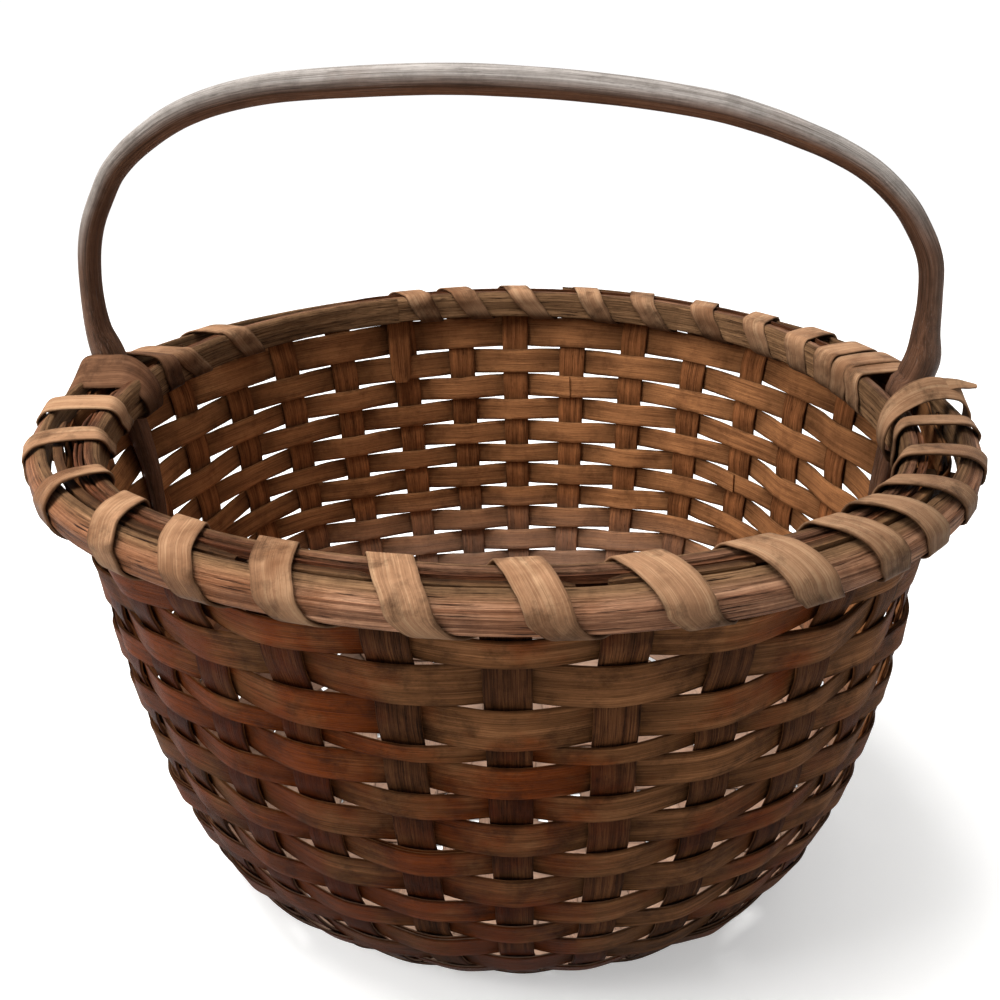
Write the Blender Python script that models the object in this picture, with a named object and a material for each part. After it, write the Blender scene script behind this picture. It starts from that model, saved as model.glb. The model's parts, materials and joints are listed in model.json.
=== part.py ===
"""Round gathering basket woven from flat wood splints, with a carved hoop handle.

Fifteen base splints cross in a plaited rectangle and turn up as thirty stakes.
Each row of weaving is one splint that goes round over and under the stakes.
The rim is an outer and an inner hoop with thin filler splints between them.
A long flat splint lashes the hoops together, and the handle's feet sit between them.

The drawing frame has z = 0 at the top of the outer hoop and its axis over the base.
The finished basket stands on z = 0 with its box centred on the z axis.
"""

from math import acos, atan2, copysign, cos, exp, pi, radians, sin, tan

import bpy
from mathutils import Vector

MM = 0.001

# Outer hoop, seen from above: a ring pulled slightly out of round
HOOP_RADIUS = 187.2 * MM
HOOP_OVAL = 5.1 * MM
HOOP_OVAL_TURN = radians(-25.0)
HOOP_LEAN = 3.3 * MM
RIM_CENTRE_Y = -17.0 * MM

# The rim stands out beside the left foot, and the hoops lie a little off level
SIDE_BULGE = 5.5 * MM
SIDE_BULGE_HEADING = radians(172.0)
SIDE_BULGE_REACH = radians(24.0)
SIDE_BULGE_DROP = 0.5
HOOP_LIFT = 0.6 * MM
HOOP_TILT = 2.0 * MM
HOOP_TILT_HEADING = radians(240.0)

# Bars of the rim
OUTER_HOOP_THICKNESS = 8.0 * MM
OUTER_HOOP_HEIGHT = 12.5 * MM
OUTER_HOOP_BEVEL = 5.0 * MM
INNER_HOOP_THICKNESS = 5.5 * MM
INNER_HOOP_HEIGHT = 14.0 * MM
INNER_HOOP_RISE = 1.0 * MM
INNER_HOOP_CHAMFER = 1.5 * MM
FILLER_THICKNESS = 1.4 * MM
FILLER_HEIGHT = 7.0 * MM
FILLER_RISE = 0.5 * MM

# Body under the rim: share of the depth, and radius as a share of the radius at the rim
BODY_DEPTH = 235.0 * MM
BODY_SHAPE = (
    (0.07, 1.000),
    (0.20, 0.969),
    (0.45, 0.953),
    (0.70, 0.909),
    (0.88, 0.839),
    (0.962, 0.752),
    (1.000, 0.645),
)
BODY_OVAL = 8.7 * MM

# How far the base lies to the left of the rim's centre
BASE_X = -3.15 * MM

# Weave
STAKE_COUNT = 30
STAKE_WIDTH = 15.5 * MM
STAKE_THICKNESS = 1.2 * MM
STAKE_TOP = -0.8 * MM
WEAVER_THICKNESS = 1.0 * MM
WEAVE_CLEARANCE = 0.6 * MM
ROW_GAP = 2.8 * MM
RIM_ROW_TOP = -2.0 * MM
RIM_ROW_WIDTH = 10.0 * MM
LASHING_SLOT = 5.0 * MM

# Degrees round the rim at which each stake stands; hand-set stakes are not quite even
STAKE_HEADINGS = (6.5, 20.0, 32.3, 44.0, 57.1, 70.6, 83.2, 94.8, 105.6, 117.0, 129.5, 141.0, 152.0,
                  163.3, 174.8, 186.2, 197.5, 208.7, 219.8, 230.8, 242.2, 254.2, 267.2, 279.4, 291.0,
                  302.6, 314.2, 325.4, 338.0, 352.0)

# Share of a stake that each row takes at the front and at the back; hand-split rows vary in width
ROWS_FRONT = (11.5, 19.3, 18.2, 7.5, 15.0, 12.5, 17.5, 14.0, 17.5, 15.0, 13.0, 15.0,
              17.0, 17.5, 18.0, 18.5, 18.5, 19.0)
ROWS_BACK = (18.0, 16.0, 15.0, 15.0, 15.0, 13.5, 15.0, 14.5, 15.0, 15.0, 15.0, 15.5,
             15.5, 15.5, 15.5, 16.0, 16.0, 16.5)
ROW_COUNT = len(ROWS_FRONT)
ROWS_FRONT_HEADING = radians(279.0)
ROWS_FRONT_REACH = radians(50.0)

# Plaited base
BASE_SPLINTS_ALONG_Y = 8
BASE_SPLINTS_ALONG_X = 7
BASE_SPLINT_WIDTH = 13.0 * MM
BASE_PITCH = 18.0 * MM
BASE_EDGE_MARGIN = 3.0 * MM
BASE_CORNER_MARGIN = 10.0 * MM
BASE_RISE_RUN = 3.5 * MM
BASE_TURN = radians(8.0)
CORNER_EASE = 0.6
CORNER_EASE_FROM = 0.75
UPRIGHT_SLOPE = 0.95

# Carved handle
HANDLE_PLANE_Y = -7.0 * MM
HANDLE_RISE = 124.0 * MM
HANDLE_GRIP_THICKNESS = 11.6 * MM
HANDLE_LEG_THICKNESS = 9.2 * MM
HANDLE_GRIP_WIDTH = 12.5 * MM
HANDLE_LEG_WIDTH = 11.0 * MM
HANDLE_FOOT_THICKNESS = 10.6 * MM
HANDLE_FOOT_WIDTH = 16.0 * MM
HANDLE_SHOULDER = 13.5 * MM
HANDLE_LEVEL_BELOW = 0.15
HANDLE_TAIL_LENGTH = 95.0 * MM
HANDLE_TAIL_THICKNESS = 3.0 * MM
HANDLE_TAIL_WIDTH = 7.0 * MM

# Centre line of the bow: share of the wall's radius at the rim, and share of the rise
BOW_SHAPE = (
    (-1.038, 0.10), (-1.049, 0.18), (-1.047, 0.31), (-1.032, 0.45), (-1.007, 0.553), (-0.969, 0.648),
    (-0.925, 0.735), (-0.848, 0.823), (-0.737, 0.908), (-0.607, 0.962), (-0.45, 0.99),
    (-0.13, 1.0), (0.07, 0.986), (0.284, 0.953), (0.49, 0.903), (0.605, 0.857),
    (0.69, 0.812), (0.762, 0.768), (0.837, 0.706), (0.896, 0.635), (0.941, 0.56),
    (0.990, 0.43), (1.003, 0.297), (1.005, 0.19), (1.006, 0.10),
)

# How each foot spreads the two hoops: side, amount, how far forward of the foot, and reach
SPREADS = (
    (-1, 14.0 * MM, radians(5.0), radians(52.0)),
    (1, 11.5 * MM, 0.0, radians(50.0)),
)
WALL_SHARE = 0.4
WALL_NOTCH = radians(13.0)
SPREAD_FADE = 0.35

# Lashing splint: one turn for each gap between stakes, from one gap's number to another's
LASHING_WIDTH = 14.4 * MM
LASHING_THICKNESS = 1.0 * MM
LASHING_SLACK = 1.1 * MM
LASHING_DROP = 2.5 * MM
LASHING_FIRST_GAP = 11
LASHING_LAST_GAP = 38

# Gap that touching pieces keep, and the wider one of the curved hoops
CLEARANCE = 0.3 * MM
HOOP_CLEARANCE = 0.6 * MM

HOOP_STEPS = 72
WEAVE_OFFSET = STAKE_THICKNESS / 2 + WEAVE_CLEARANCE + WEAVER_THICKNESS / 2
WEAVE_HALF = WEAVE_OFFSET + WEAVER_THICKNESS / 2
WEAVE_OFFSET_BASE = STAKE_THICKNESS + WEAVE_CLEARANCE
FLAT_RISE = (STAKE_WIDTH / 2 + WEAVE_CLEARANCE) ** 2 / (2 * HOOP_RADIUS)
WALL_INSET = OUTER_HOOP_THICKNESS + HOOP_CLEARANCE + FLAT_RISE + WEAVE_HALF
RIM_RADIUS = HOOP_RADIUS - WALL_INSET
INNER_HOOP_INSET = WALL_INSET + WEAVE_HALF + CLEARANCE + FILLER_THICKNESS + HOOP_CLEARANCE


def clear_objects():
    """Remove whatever the scene holds."""
    for old in list(bpy.data.objects):
        bpy.data.objects.remove(old, do_unlink=True)


def make_material(name, colour, roughness):
    """Return a Principled material of one colour."""
    material = bpy.data.materials.new(name)
    material.use_nodes = True
    shader = material.node_tree.nodes["Principled BSDF"]
    shader.inputs["Base Color"].default_value = (*colour, 1.0)
    shader.inputs["Roughness"].default_value = roughness
    shader.inputs["Metallic"].default_value = 0.0
    return material


def add_mesh(name, rings, closed, colour, roughness=0.75):
    """Skin a row of equal rings of points into one closed body."""
    sides = len(rings[0])
    points = [tuple(point) for ring in rings for point in ring]
    count = len(rings)
    faces = []
    for i in range(count if closed else count - 1):
        here = i * sides
        there = ((i + 1) % count) * sides
        for j in range(sides):
            k = (j + 1) % sides
            faces.append((here + j, here + k, there + k, there + j))
    if not closed:
        faces.append(tuple(reversed(range(sides))))
        faces.append(tuple((count - 1) * sides + j for j in range(sides)))
    mesh = bpy.data.meshes.new(name)
    mesh.from_pydata(points, [], faces)
    mesh.update()
    if signed_volume(mesh) < 0:
        mesh.flip_normals()
    mesh.materials.append(make_material(name, colour, roughness))
    piece = bpy.data.objects.new(name, mesh)
    bpy.context.scene.collection.objects.link(piece)
    return piece


def signed_volume(mesh):
    """Return the volume inside a mesh, below zero where its faces point inwards."""
    total = 0.0
    for face in mesh.polygons:
        first = mesh.vertices[face.vertices[0]].co
        for i in range(1, len(face.vertices) - 1):
            second = mesh.vertices[face.vertices[i]].co
            third = mesh.vertices[face.vertices[i + 1]].co
            total += first.dot(second.cross(third)) / 6.0
    return total


def strip_section(centre, across, outward, width, thickness):
    """Return the four corners of a flat splint at one place along it."""
    side = across * (width / 2)
    face = outward * (thickness / 2)
    return [centre - side - face, centre + side - face, centre + side + face, centre - side + face]


def blend(table, position):
    """Read a smooth curve through a table of (position, value) rows."""
    last = len(table) - 1
    i = 0
    while i < last - 1 and position > table[i + 1][0]:
        i += 1
    x0, y0 = table[i]
    x1, y1 = table[i + 1]
    slope_in = table_slope(table, i)
    slope_out = table_slope(table, i + 1)
    span = x1 - x0
    t = (position - x0) / span
    t2 = t * t
    t3 = t2 * t
    return ((2 * t3 - 3 * t2 + 1) * y0 + (t3 - 2 * t2 + t) * span * slope_in
            + (3 * t2 - 2 * t3) * y1 + (t3 - t2) * span * slope_out)


def table_slope(table, i):
    """Return the slope of the curve at one row of a table."""
    low = max(i - 1, 0)
    high = min(i + 1, len(table) - 1)
    return (table[high][1] - table[low][1]) / (table[high][0] - table[low][0])


def angle_between(first, second):
    """Return the size of the angle between two headings."""
    return abs((first - second + pi) % (2 * pi) - pi)


# Rim seen from above

def rim_point(heading, inset, height):
    """Return a point on a hoop line, inset from the outer hoop's outer face."""
    radius = (HOOP_RADIUS + HOOP_OVAL * cos(2 * (heading - HOOP_OVAL_TURN))
              - HOOP_LEAN * sin(3 * heading) + side_bulge(heading) - inset)
    return Vector((radius * cos(heading), RIM_CENTRE_Y + radius * sin(heading), height))


def side_bulge(heading):
    """Return how far the rim stands out beside the left foot."""
    away = angle_between(heading, SIDE_BULGE_HEADING) / SIDE_BULGE_REACH
    return SIDE_BULGE * exp(-away * away)


def bar_point(heading, inset, height):
    """Return a point on a hoop, which lies a little off level."""
    tilt = HOOP_LIFT + HOOP_TILT * cos(heading - HOOP_TILT_HEADING)
    return rim_point(heading, inset, height + tilt)


def foot_heading(side):
    """Return the heading of the handle's foot at x below zero (-1) or above it (1)."""
    return atan2(HANDLE_PLANE_Y - RIM_CENTRE_Y, side * (RIM_RADIUS))


def hoop_spread(heading):
    """Return how far the feet push the inner hoop off the wall at a heading."""
    total = 0.0
    for side, amount, forward, reach in SPREADS:
        away = angle_between(heading, foot_heading(side) - side * forward)
        if away < reach:
            total += amount * cos(pi / 2 * away / reach) ** 2
    return total


def wall_pull(heading):
    """Return how far the wall stands off the outer hoop beside the feet."""
    near = min(angle_between(heading, foot_heading(side)) for side in (-1, 1))
    return hoop_spread(heading) * WALL_SHARE * (1.0 - exp(-(near / WALL_NOTCH) ** 2))


def outward_at(heading, inset):
    """Return the level outward direction of a hoop line."""
    step = 0.01
    along = rim_point(heading + step, inset, 0.0) - rim_point(heading - step, inset, 0.0)
    return Vector((along.y, -along.x, 0.0)).normalized()


# Wall of the body

def wall_point(heading, share):
    """Return the wall's middle surface at a heading and a share of the depth."""
    upright = BODY_SHAPE[0][0]
    curved = max(0.0, share - upright) / (1.0 - upright)
    fade = max(0.0, 1.0 - curved / SPREAD_FADE) ** 2
    oval = HOOP_OVAL + (BODY_OVAL - HOOP_OVAL) * curved
    turn = HOOP_OVAL_TURN * (1.0 - curved)
    radius = (RIM_RADIUS * blend(BODY_SHAPE, max(share, upright)) + oval * cos(2 * (heading - turn))
              - HOOP_LEAN * (1.0 - curved) * sin(3 * heading) - wall_pull(heading) * fade
              + side_bulge(heading) * max(0.0, 1.0 - curved / SIDE_BULGE_DROP))
    middle_x = BASE_X * curved
    middle_y = RIM_CENTRE_Y * (1.0 - curved)
    return Vector((middle_x + radius * cos(heading), middle_y + radius * sin(heading), -BODY_DEPTH * share))


def wall_outward(heading, share):
    """Return the level outward direction of the wall's outline at one depth."""
    step = 0.01
    along = wall_point(heading + step, share) - wall_point(heading - step, share)
    return Vector((along.y, -along.x, 0.0)).normalized()


def stake_heading(index):
    """Return the heading at which a stake climbs the wall."""
    return radians(STAKE_HEADINGS[index])


def row_shares(heading):
    """Return the share of a stake that each row takes at a heading."""
    away = angle_between(heading, ROWS_FRONT_HEADING) / ROWS_FRONT_REACH
    front = exp(-away * away)
    return [back + (fore - back) * front for fore, back in zip(ROWS_FRONT, ROWS_BACK)]


def base_exit(index):
    """Return where a stake leaves the plaited base, from its centre, and its level direction there."""
    half_y = (BASE_SPLINTS_ALONG_Y - 1) / 2
    half_x = (BASE_SPLINTS_ALONG_X - 1) / 2
    edge_x = half_y * BASE_PITCH + BASE_SPLINT_WIDTH / 2
    edge_y = half_x * BASE_PITCH + BASE_SPLINT_WIDTH / 2
    first_y = int(half_x) + 1
    last_y = first_y + BASE_SPLINTS_ALONG_Y
    opposite = last_y + BASE_SPLINTS_ALONG_X
    if index < first_y or index >= STAKE_COUNT - int(half_x):
        row = index if index < first_y else index - STAKE_COUNT
        along = Vector((1.0, 0.0, 0.0))
        place = Vector((0.0, row * BASE_PITCH, 0.0)) + along * (edge_x + exit_margin(row / half_x))
    elif index < last_y:
        row = half_y - (index - first_y)
        along = Vector((0.0, 1.0, 0.0))
        place = Vector((row * BASE_PITCH, 0.0, 0.0)) + along * (edge_y + exit_margin(row / half_y))
    elif index < opposite:
        row = half_x - (index - last_y)
        along = Vector((-1.0, 0.0, 0.0))
        place = Vector((0.0, row * BASE_PITCH, 0.0)) + along * (edge_x + exit_margin(row / half_x))
    else:
        row = index - opposite - half_y
        along = Vector((0.0, -1.0, 0.0))
        place = Vector((row * BASE_PITCH, 0.0, 0.0)) + along * (edge_y + exit_margin(row / half_y))
    return turn_level(place, BASE_TURN), turn_level(along, BASE_TURN)


def exit_margin(share):
    """Return how far beyond the plaited base the first row starts; corners need more room."""
    return BASE_EDGE_MARGIN + (BASE_CORNER_MARGIN - BASE_EDGE_MARGIN) * share ** 2


def turn_level(vector, angle):
    """Turn a vector about the z axis."""
    return Vector((vector.x * cos(angle) - vector.y * sin(angle),
                   vector.x * sin(angle) + vector.y * cos(angle), vector.z))


def heading_at(index, share):
    """Return a stake's heading at a share of the depth; it eases over near the base."""
    heading = stake_heading(index)
    ease = max(0.0, (share - CORNER_EASE_FROM) / (1.0 - CORNER_EASE_FROM))
    place, along = base_exit(index)
    foot = RIM_RADIUS * BODY_SHAPE[-1][1]
    across = Vector((-along.y, along.x, 0.0))
    offset = place.dot(across)
    straight = along * (foot * foot - offset * offset) ** 0.5 + across * offset
    apart = (atan2(straight.y, straight.x) - heading + pi) % (2 * pi) - pi
    return heading + apart * CORNER_EASE * ease * ease * (3 - 2 * ease)


def stake_route(index, steps=240):
    """Return close-set points down one stake, from the slot under the rim row to the base."""
    slot_share = (-(RIM_ROW_TOP) + RIM_ROW_WIDTH + LASHING_SLOT) / BODY_DEPTH
    route = []
    for i in range(steps + 1):
        share = slot_share + (1.0 - slot_share) * i / steps
        route.append(wall_point(heading_at(index, share), share))
    exit_place, _ = base_exit(index)
    corner = route[-1]
    target = Vector((BASE_X + exit_place.x, exit_place.y, -BODY_DEPTH))
    for i in range(1, steps // 4 + 1):
        route.append(corner.lerp(target, i / (steps // 4)))
    return route


def points_at_shares(route, shares):
    """Return the points of a route at given shares of its length."""
    lengths = [0.0]
    for a, b in zip(route, route[1:]):
        lengths.append(lengths[-1] + (b - a).length)
    found = []
    i = 0
    for share in shares:
        wanted = share * lengths[-1]
        while i < len(lengths) - 2 and lengths[i + 1] < wanted:
            i += 1
        t = (wanted - lengths[i]) / (lengths[i + 1] - lengths[i])
        found.append(route[i].lerp(route[i + 1], t))
    return found


class Stake:
    """One stake: the points between its rows, and a frame for each row."""

    def __init__(self, index):
        """Work out the stake's stations from the rim to the base."""
        heading = stake_heading(index)
        taken = row_shares(heading)
        shares = [sum(taken[:i]) / sum(taken) for i in range(ROW_COUNT + 1)]
        below = points_at_shares(stake_route(index), shares)
        rim = wall_point(heading, 0.0)
        top = Vector((rim.x, rim.y, STAKE_TOP))
        self.stations = [top] + below
        self.leaving = base_exit(index)[1]
        self.outwards = []
        self.acrosses = []
        for upper, lower in zip(self.stations, self.stations[1:]):
            down = (lower - upper).normalized()
            share = min(1.0, max(0.0, -(upper.z + lower.z) / 2 / BODY_DEPTH))
            radial = wall_outward(heading_at(index, share), share)
            level_share = max(0.0, 1.0 + down.z / UPRIGHT_SLOPE)
            leaving = Vector((-down.x, -down.y, 0.0)).normalized()
            radial = radial.lerp(leaving, level_share).normalized()
            level = Vector((-radial.y, radial.x, 0.0))
            outward = down.cross(level).normalized()
            self.outwards.append(outward)
            self.acrosses.append(outward.cross(down).normalized())

    def width_at(self, station):
        """Return the stake's width at a station, wide at the rim and narrow at the base."""
        share = station / (len(self.stations) - 1)
        return STAKE_WIDTH + (BASE_SPLINT_WIDTH - STAKE_WIDTH) * share

    def facing(self, station):
        """Return the way the splint's outer face points at a station."""
        before = self.outwards[max(station - 1, 0)]
        after = self.outwards[min(station, len(self.outwards) - 1)]
        return (before + after).normalized()

    def twist_room(self, row):
        """Return how far the splint's edges stand off its flat plane within a row."""
        across = self.acrosses[row]
        lean = max(abs(self.facing(row).dot(across)), abs(self.facing(row + 1).dot(across)))
        return lean * self.width_at(row) / 2

    def bend_room(self):
        """Return the room that the last row leaves for the splint's bend where it meets the base."""
        away = (self.stations[-2] - self.stations[-1]).normalized()
        bend = acos(min(1.0, away.dot(self.leaving)))
        return 2 * CLEARANCE + self.width_at(len(self.stations)) / 2 * tan(bend / 2)

    def sections(self):
        """Return the splint's cross-sections from the rim down to the base."""
        found = []
        last = len(self.stations) - 1
        for i, place in enumerate(self.stations):
            after = self.outwards[min(i, last - 1)]
            outward = self.facing(i)
            across = (self.acrosses[max(i - 1, 0)] + self.acrosses[min(i, last - 1)]).normalized()
            mitre = 1.0 / max(outward.dot(after), 0.5)
            found.append(strip_section(place, across, outward, self.width_at(i), STAKE_THICKNESS * mitre))
        return found


# Pieces

def build_stakes():
    """Return all the stakes."""
    return [Stake(i) for i in range(STAKE_COUNT)]


def passes_outside(row, index):
    """Tell whether a row of weaving passes outside a stake."""
    return (row + index) % 2 == 0


def add_weavers(stakes):
    """Add each row of weaving as one ring."""
    for row in range(ROW_COUNT + 1):
        rings = []
        for index, stake in enumerate(stakes):
            upper, lower = stake.stations[row], stake.stations[row + 1]
            outward, across = stake.outwards[row], stake.acrosses[row]
            down = (lower - upper).normalized()
            if row == 0:
                centre = upper + down * (STAKE_TOP - RIM_ROW_TOP + RIM_ROW_WIDTH / 2)
                width = RIM_ROW_WIDTH
            else:
                room = stake.bend_room() if row == ROW_COUNT else 0.0
                centre = (upper + lower) / 2 - down * (room / 2)
                width = (lower - upper).length - ROW_GAP - room
            side = 1 if passes_outside(row, index) else -1
            centre = centre + outward * (side * (WEAVE_OFFSET + stake.twist_room(row)))
            reach = stake.width_at(row + 0.5) / 2 + WEAVE_CLEARANCE
            for sign in (-1, 1):
                rings.append(strip_section(centre + across * (sign * reach), down, outward,
                                           width, WEAVER_THICKNESS))
        name = "weaver_rim" if row == 0 else f"weaver_{row:02d}"
        shade = 0.9 + 0.1 * (row % 3)
        add_mesh(name, rings, True, (0.20 * shade, 0.105 * shade, 0.055 * shade))


def base_crossings(splint, along_y):
    """Return the sections of one base splint where it crosses the others."""
    if along_y:
        count, own = BASE_SPLINTS_ALONG_X, BASE_SPLINTS_ALONG_Y
    else:
        count, own = BASE_SPLINTS_ALONG_Y, BASE_SPLINTS_ALONG_X
    half = (own - 1) / 2
    sideways = (splint - half) * BASE_PITCH
    reach = BASE_SPLINT_WIDTH / 2 + WEAVE_CLEARANCE
    end = (count - 1) / 2 * BASE_PITCH + reach
    if along_y:
        steps = [(-end, 0.0), (end, 0.0)]
    else:
        steps = []
        for cross in range(count):
            above = (cross + splint + ROW_COUNT) % 2 == 1
            lift = WEAVE_OFFSET_BASE if above else -WEAVE_OFFSET_BASE
            forwards = (cross - (count - 1) / 2) * BASE_PITCH
            steps += [(forwards - reach, lift), (forwards + reach, lift)]
        if exit_margin((splint - half) / half) > 2 * BASE_RISE_RUN:
            steps = [(-end - BASE_RISE_RUN, 0.0)] + steps + [(end + BASE_RISE_RUN, 0.0)]
    sections = []
    for step, lift in steps:
        flat = Vector((sideways, step, 0.0)) if along_y else Vector((step, sideways, 0.0))
        across = Vector((1.0, 0.0, 0.0)) if along_y else Vector((0.0, 1.0, 0.0))
        centre = turn_level(flat, BASE_TURN) + Vector((BASE_X, 0.0, lift - BODY_DEPTH))
        sections.append((centre, turn_level(across, BASE_TURN)))
    return sections


def add_base_splints(stakes):
    """Add each base splint with the two stakes that it turns up into."""
    half_x = BASE_SPLINTS_ALONG_X // 2
    first_y = half_x + 1
    last_y = first_y + BASE_SPLINTS_ALONG_Y
    opposite = last_y + BASE_SPLINTS_ALONG_X
    for splint in range(BASE_SPLINTS_ALONG_Y):
        far = stakes[last_y - 1 - splint]
        near = stakes[opposite + splint]
        add_splint(f"base_splint_long_{splint + 1}", near, far, base_crossings(splint, True))
    for splint in range(BASE_SPLINTS_ALONG_X):
        right = stakes[(splint - half_x) % STAKE_COUNT]
        left = stakes[last_y + BASE_SPLINTS_ALONG_X - 1 - splint]
        add_splint(f"base_splint_cross_{splint + 1}", left, right, base_crossings(splint, False))


def add_splint(name, start, end, middle):
    """Add one splint that goes down a stake, across the base and up another stake."""
    down = Vector((0.0, 0.0, -1.0))
    rings = start.sections()
    flip = None
    for centre, across in middle:
        if flip is None:
            reference = rings[-1][1] - rings[-1][0]
            flip = 1 if reference.dot(across) > 0 else -1
        rings.append(strip_section(centre, across * flip, down, BASE_SPLINT_WIDTH, STAKE_THICKNESS))
    rising = end.sections()
    rising.reverse()
    reference = rings[-1][1] - rings[-1][0]
    for ring in rising:
        if reference.dot(ring[1] - ring[0]) < 0:
            ring = [ring[1], ring[0], ring[3], ring[2]]
        rings.append(ring)
    add_mesh(name, rings, False, (0.17, 0.09, 0.05))


def add_hoops():
    """Add the outer hoop with its bevelled upper edge, and the squarer inner hoop."""
    outer, inner = [], []
    for i in range(HOOP_STEPS):
        heading = 2 * pi * i / HOOP_STEPS
        outer.append([
            bar_point(heading, OUTER_HOOP_THICKNESS, 0.0),
            bar_point(heading, OUTER_HOOP_THICKNESS * 0.75, 0.0),
            bar_point(heading, 0.0, -OUTER_HOOP_BEVEL),
            bar_point(heading, 0.0, -OUTER_HOOP_HEIGHT * 0.85),
            bar_point(heading, OUTER_HOOP_THICKNESS * 0.2, -OUTER_HOOP_HEIGHT),
            bar_point(heading, OUTER_HOOP_THICKNESS, -OUTER_HOOP_HEIGHT),
        ])
        near = INNER_HOOP_INSET + hoop_spread(heading)
        far = near + INNER_HOOP_THICKNESS
        top = INNER_HOOP_RISE
        low = INNER_HOOP_RISE - INNER_HOOP_HEIGHT
        inner.append([
            bar_point(heading, near, low),
            bar_point(heading, near, top),
            bar_point(heading, far - INNER_HOOP_CHAMFER, top),
            bar_point(heading, far, top - INNER_HOOP_CHAMFER),
            bar_point(heading, far, low),
        ])
    add_mesh("outer_hoop", outer, True, (0.36, 0.24, 0.15))
    add_mesh("inner_hoop", inner, True, (0.38, 0.26, 0.16))


def add_filler(name, start, end, steps=26):
    """Add a thin splint that stands on edge between the stake tops and the inner hoop."""
    rings = []
    for i in range(steps + 1):
        heading = start + (end - start) * i / steps
        inset = INNER_HOOP_INSET + hoop_spread(heading) - HOOP_CLEARANCE
        centre_inset = inset - FILLER_THICKNESS / 2
        centre = bar_point(heading, centre_inset, FILLER_RISE - FILLER_HEIGHT / 2)
        rings.append(strip_section(centre, Vector((0.0, 0.0, 1.0)), outward_at(heading, centre_inset),
                                   FILLER_HEIGHT, FILLER_THICKNESS))
    add_mesh(name, rings, False, (0.30, 0.19, 0.11))


def foot_x(side, depth, thickness):
    """Return the x of a foot's centre line where it lies against the inside of the wall."""
    share = max(depth, 0.0) / BODY_DEPTH
    wall = wall_point(foot_heading(side), share)
    return wall.x - side * (WEAVE_HALF + HOOP_CLEARANCE + thickness / 2)


def add_handle():
    """Add the handle: a tapered tail, a foot and a leg on each side of the bow."""
    stations = []
    stations += tail_stations(-1)
    for share_x, share_z in BOW_SHAPE:
        grip = max(0.0, (share_z - 0.6) / 0.4)
        thickness = HANDLE_LEG_THICKNESS + (HANDLE_GRIP_THICKNESS - HANDLE_LEG_THICKNESS) * grip ** 2
        width = HANDLE_LEG_WIDTH + (HANDLE_GRIP_WIDTH - HANDLE_LEG_WIDTH) * grip
        if share_z < HANDLE_LEVEL_BELOW:
            thickness = HANDLE_SHOULDER
            width = HANDLE_FOOT_WIDTH
        elif share_z < 0.25:
            thickness = HANDLE_FOOT_THICKNESS
            width = (HANDLE_FOOT_WIDTH + HANDLE_LEG_WIDTH) / 2
        stations.append((share_x * RIM_RADIUS, share_z * HANDLE_RISE, thickness, width))
    stations += list(reversed(tail_stations(1)))
    rings = []
    for i, (x, z, thickness, width) in enumerate(stations):
        before = stations[max(i - 1, 0)]
        after = stations[min(i + 1, len(stations) - 1)]
        along = Vector((after[0] - before[0], 0.0, after[1] - before[1])).normalized()
        if z < HANDLE_RISE * HANDLE_LEVEL_BELOW:
            along = Vector((0.0, 0.0, copysign(1.0, along.z)))
        normal = Vector((-along.z, 0.0, along.x))
        rings.append(octagon(Vector((x, HANDLE_PLANE_Y, z)), normal, thickness, width))
    add_mesh("handle", rings, False, (0.22, 0.15, 0.10), 0.6)


def tail_stations(side):
    """Return the stations of a tail, from its tip inside the basket up to the foot."""
    rows = []
    steps = 6
    for i in range(steps + 1):
        share = i / steps
        depth = HANDLE_TAIL_LENGTH * (1.0 - share)
        thickness = HANDLE_TAIL_THICKNESS + (HANDLE_FOOT_THICKNESS - HANDLE_TAIL_THICKNESS) * share
        width = HANDLE_TAIL_WIDTH + (HANDLE_FOOT_WIDTH - HANDLE_TAIL_WIDTH) * share
        rows.append((foot_x(side, depth, thickness), -depth, thickness, width))
    rise = INNER_HOOP_RISE + LASHING_THICKNESS + 2 * CLEARANCE
    inset = OUTER_HOOP_THICKNESS + HOOP_CLEARANCE + HANDLE_SHOULDER / 2
    rows.append((rim_point(foot_heading(side), inset, 0.0).x, rise, HANDLE_SHOULDER, HANDLE_FOOT_WIDTH))
    return rows


def octagon(centre, normal, thickness, width):
    """Return a flat-sided oval section of the handle."""
    across = Vector((0.0, 1.0, 0.0))
    points = []
    for corner in range(8):
        angle = pi / 4 * corner + pi / 8
        points.append(centre + normal * (thickness / 2 * cos(angle) / cos(pi / 8))
                      + across * (width / 2 * sin(angle) / cos(pi / 8)))
    return points


def lashing_runs():
    """Return the headings where each length of lashing goes through the wall."""
    runs = [[]]
    last = None
    for index in range(LASHING_FIRST_GAP, LASHING_LAST_GAP + 1):
        low = stake_heading(index % STAKE_COUNT)
        high = stake_heading((index + 1) % STAKE_COUNT)
        middle = low + ((high - low) % (2 * pi)) / 2
        blocked = False
        for side in (-1, 1):
            room = (HANDLE_FOOT_WIDTH + LASHING_WIDTH) / 2 / RIM_RADIUS + radians(1.0)
            if angle_between(middle, foot_heading(side)) < room:
                blocked = True
            foot = foot_heading(side)
            if last is not None and (foot - last) % (2 * pi) < (middle - last) % (2 * pi):
                runs.append([])
        last = middle
        if not blocked:
            runs[-1].append(middle + 2 * pi * (index // STAKE_COUNT))
    return runs


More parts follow.
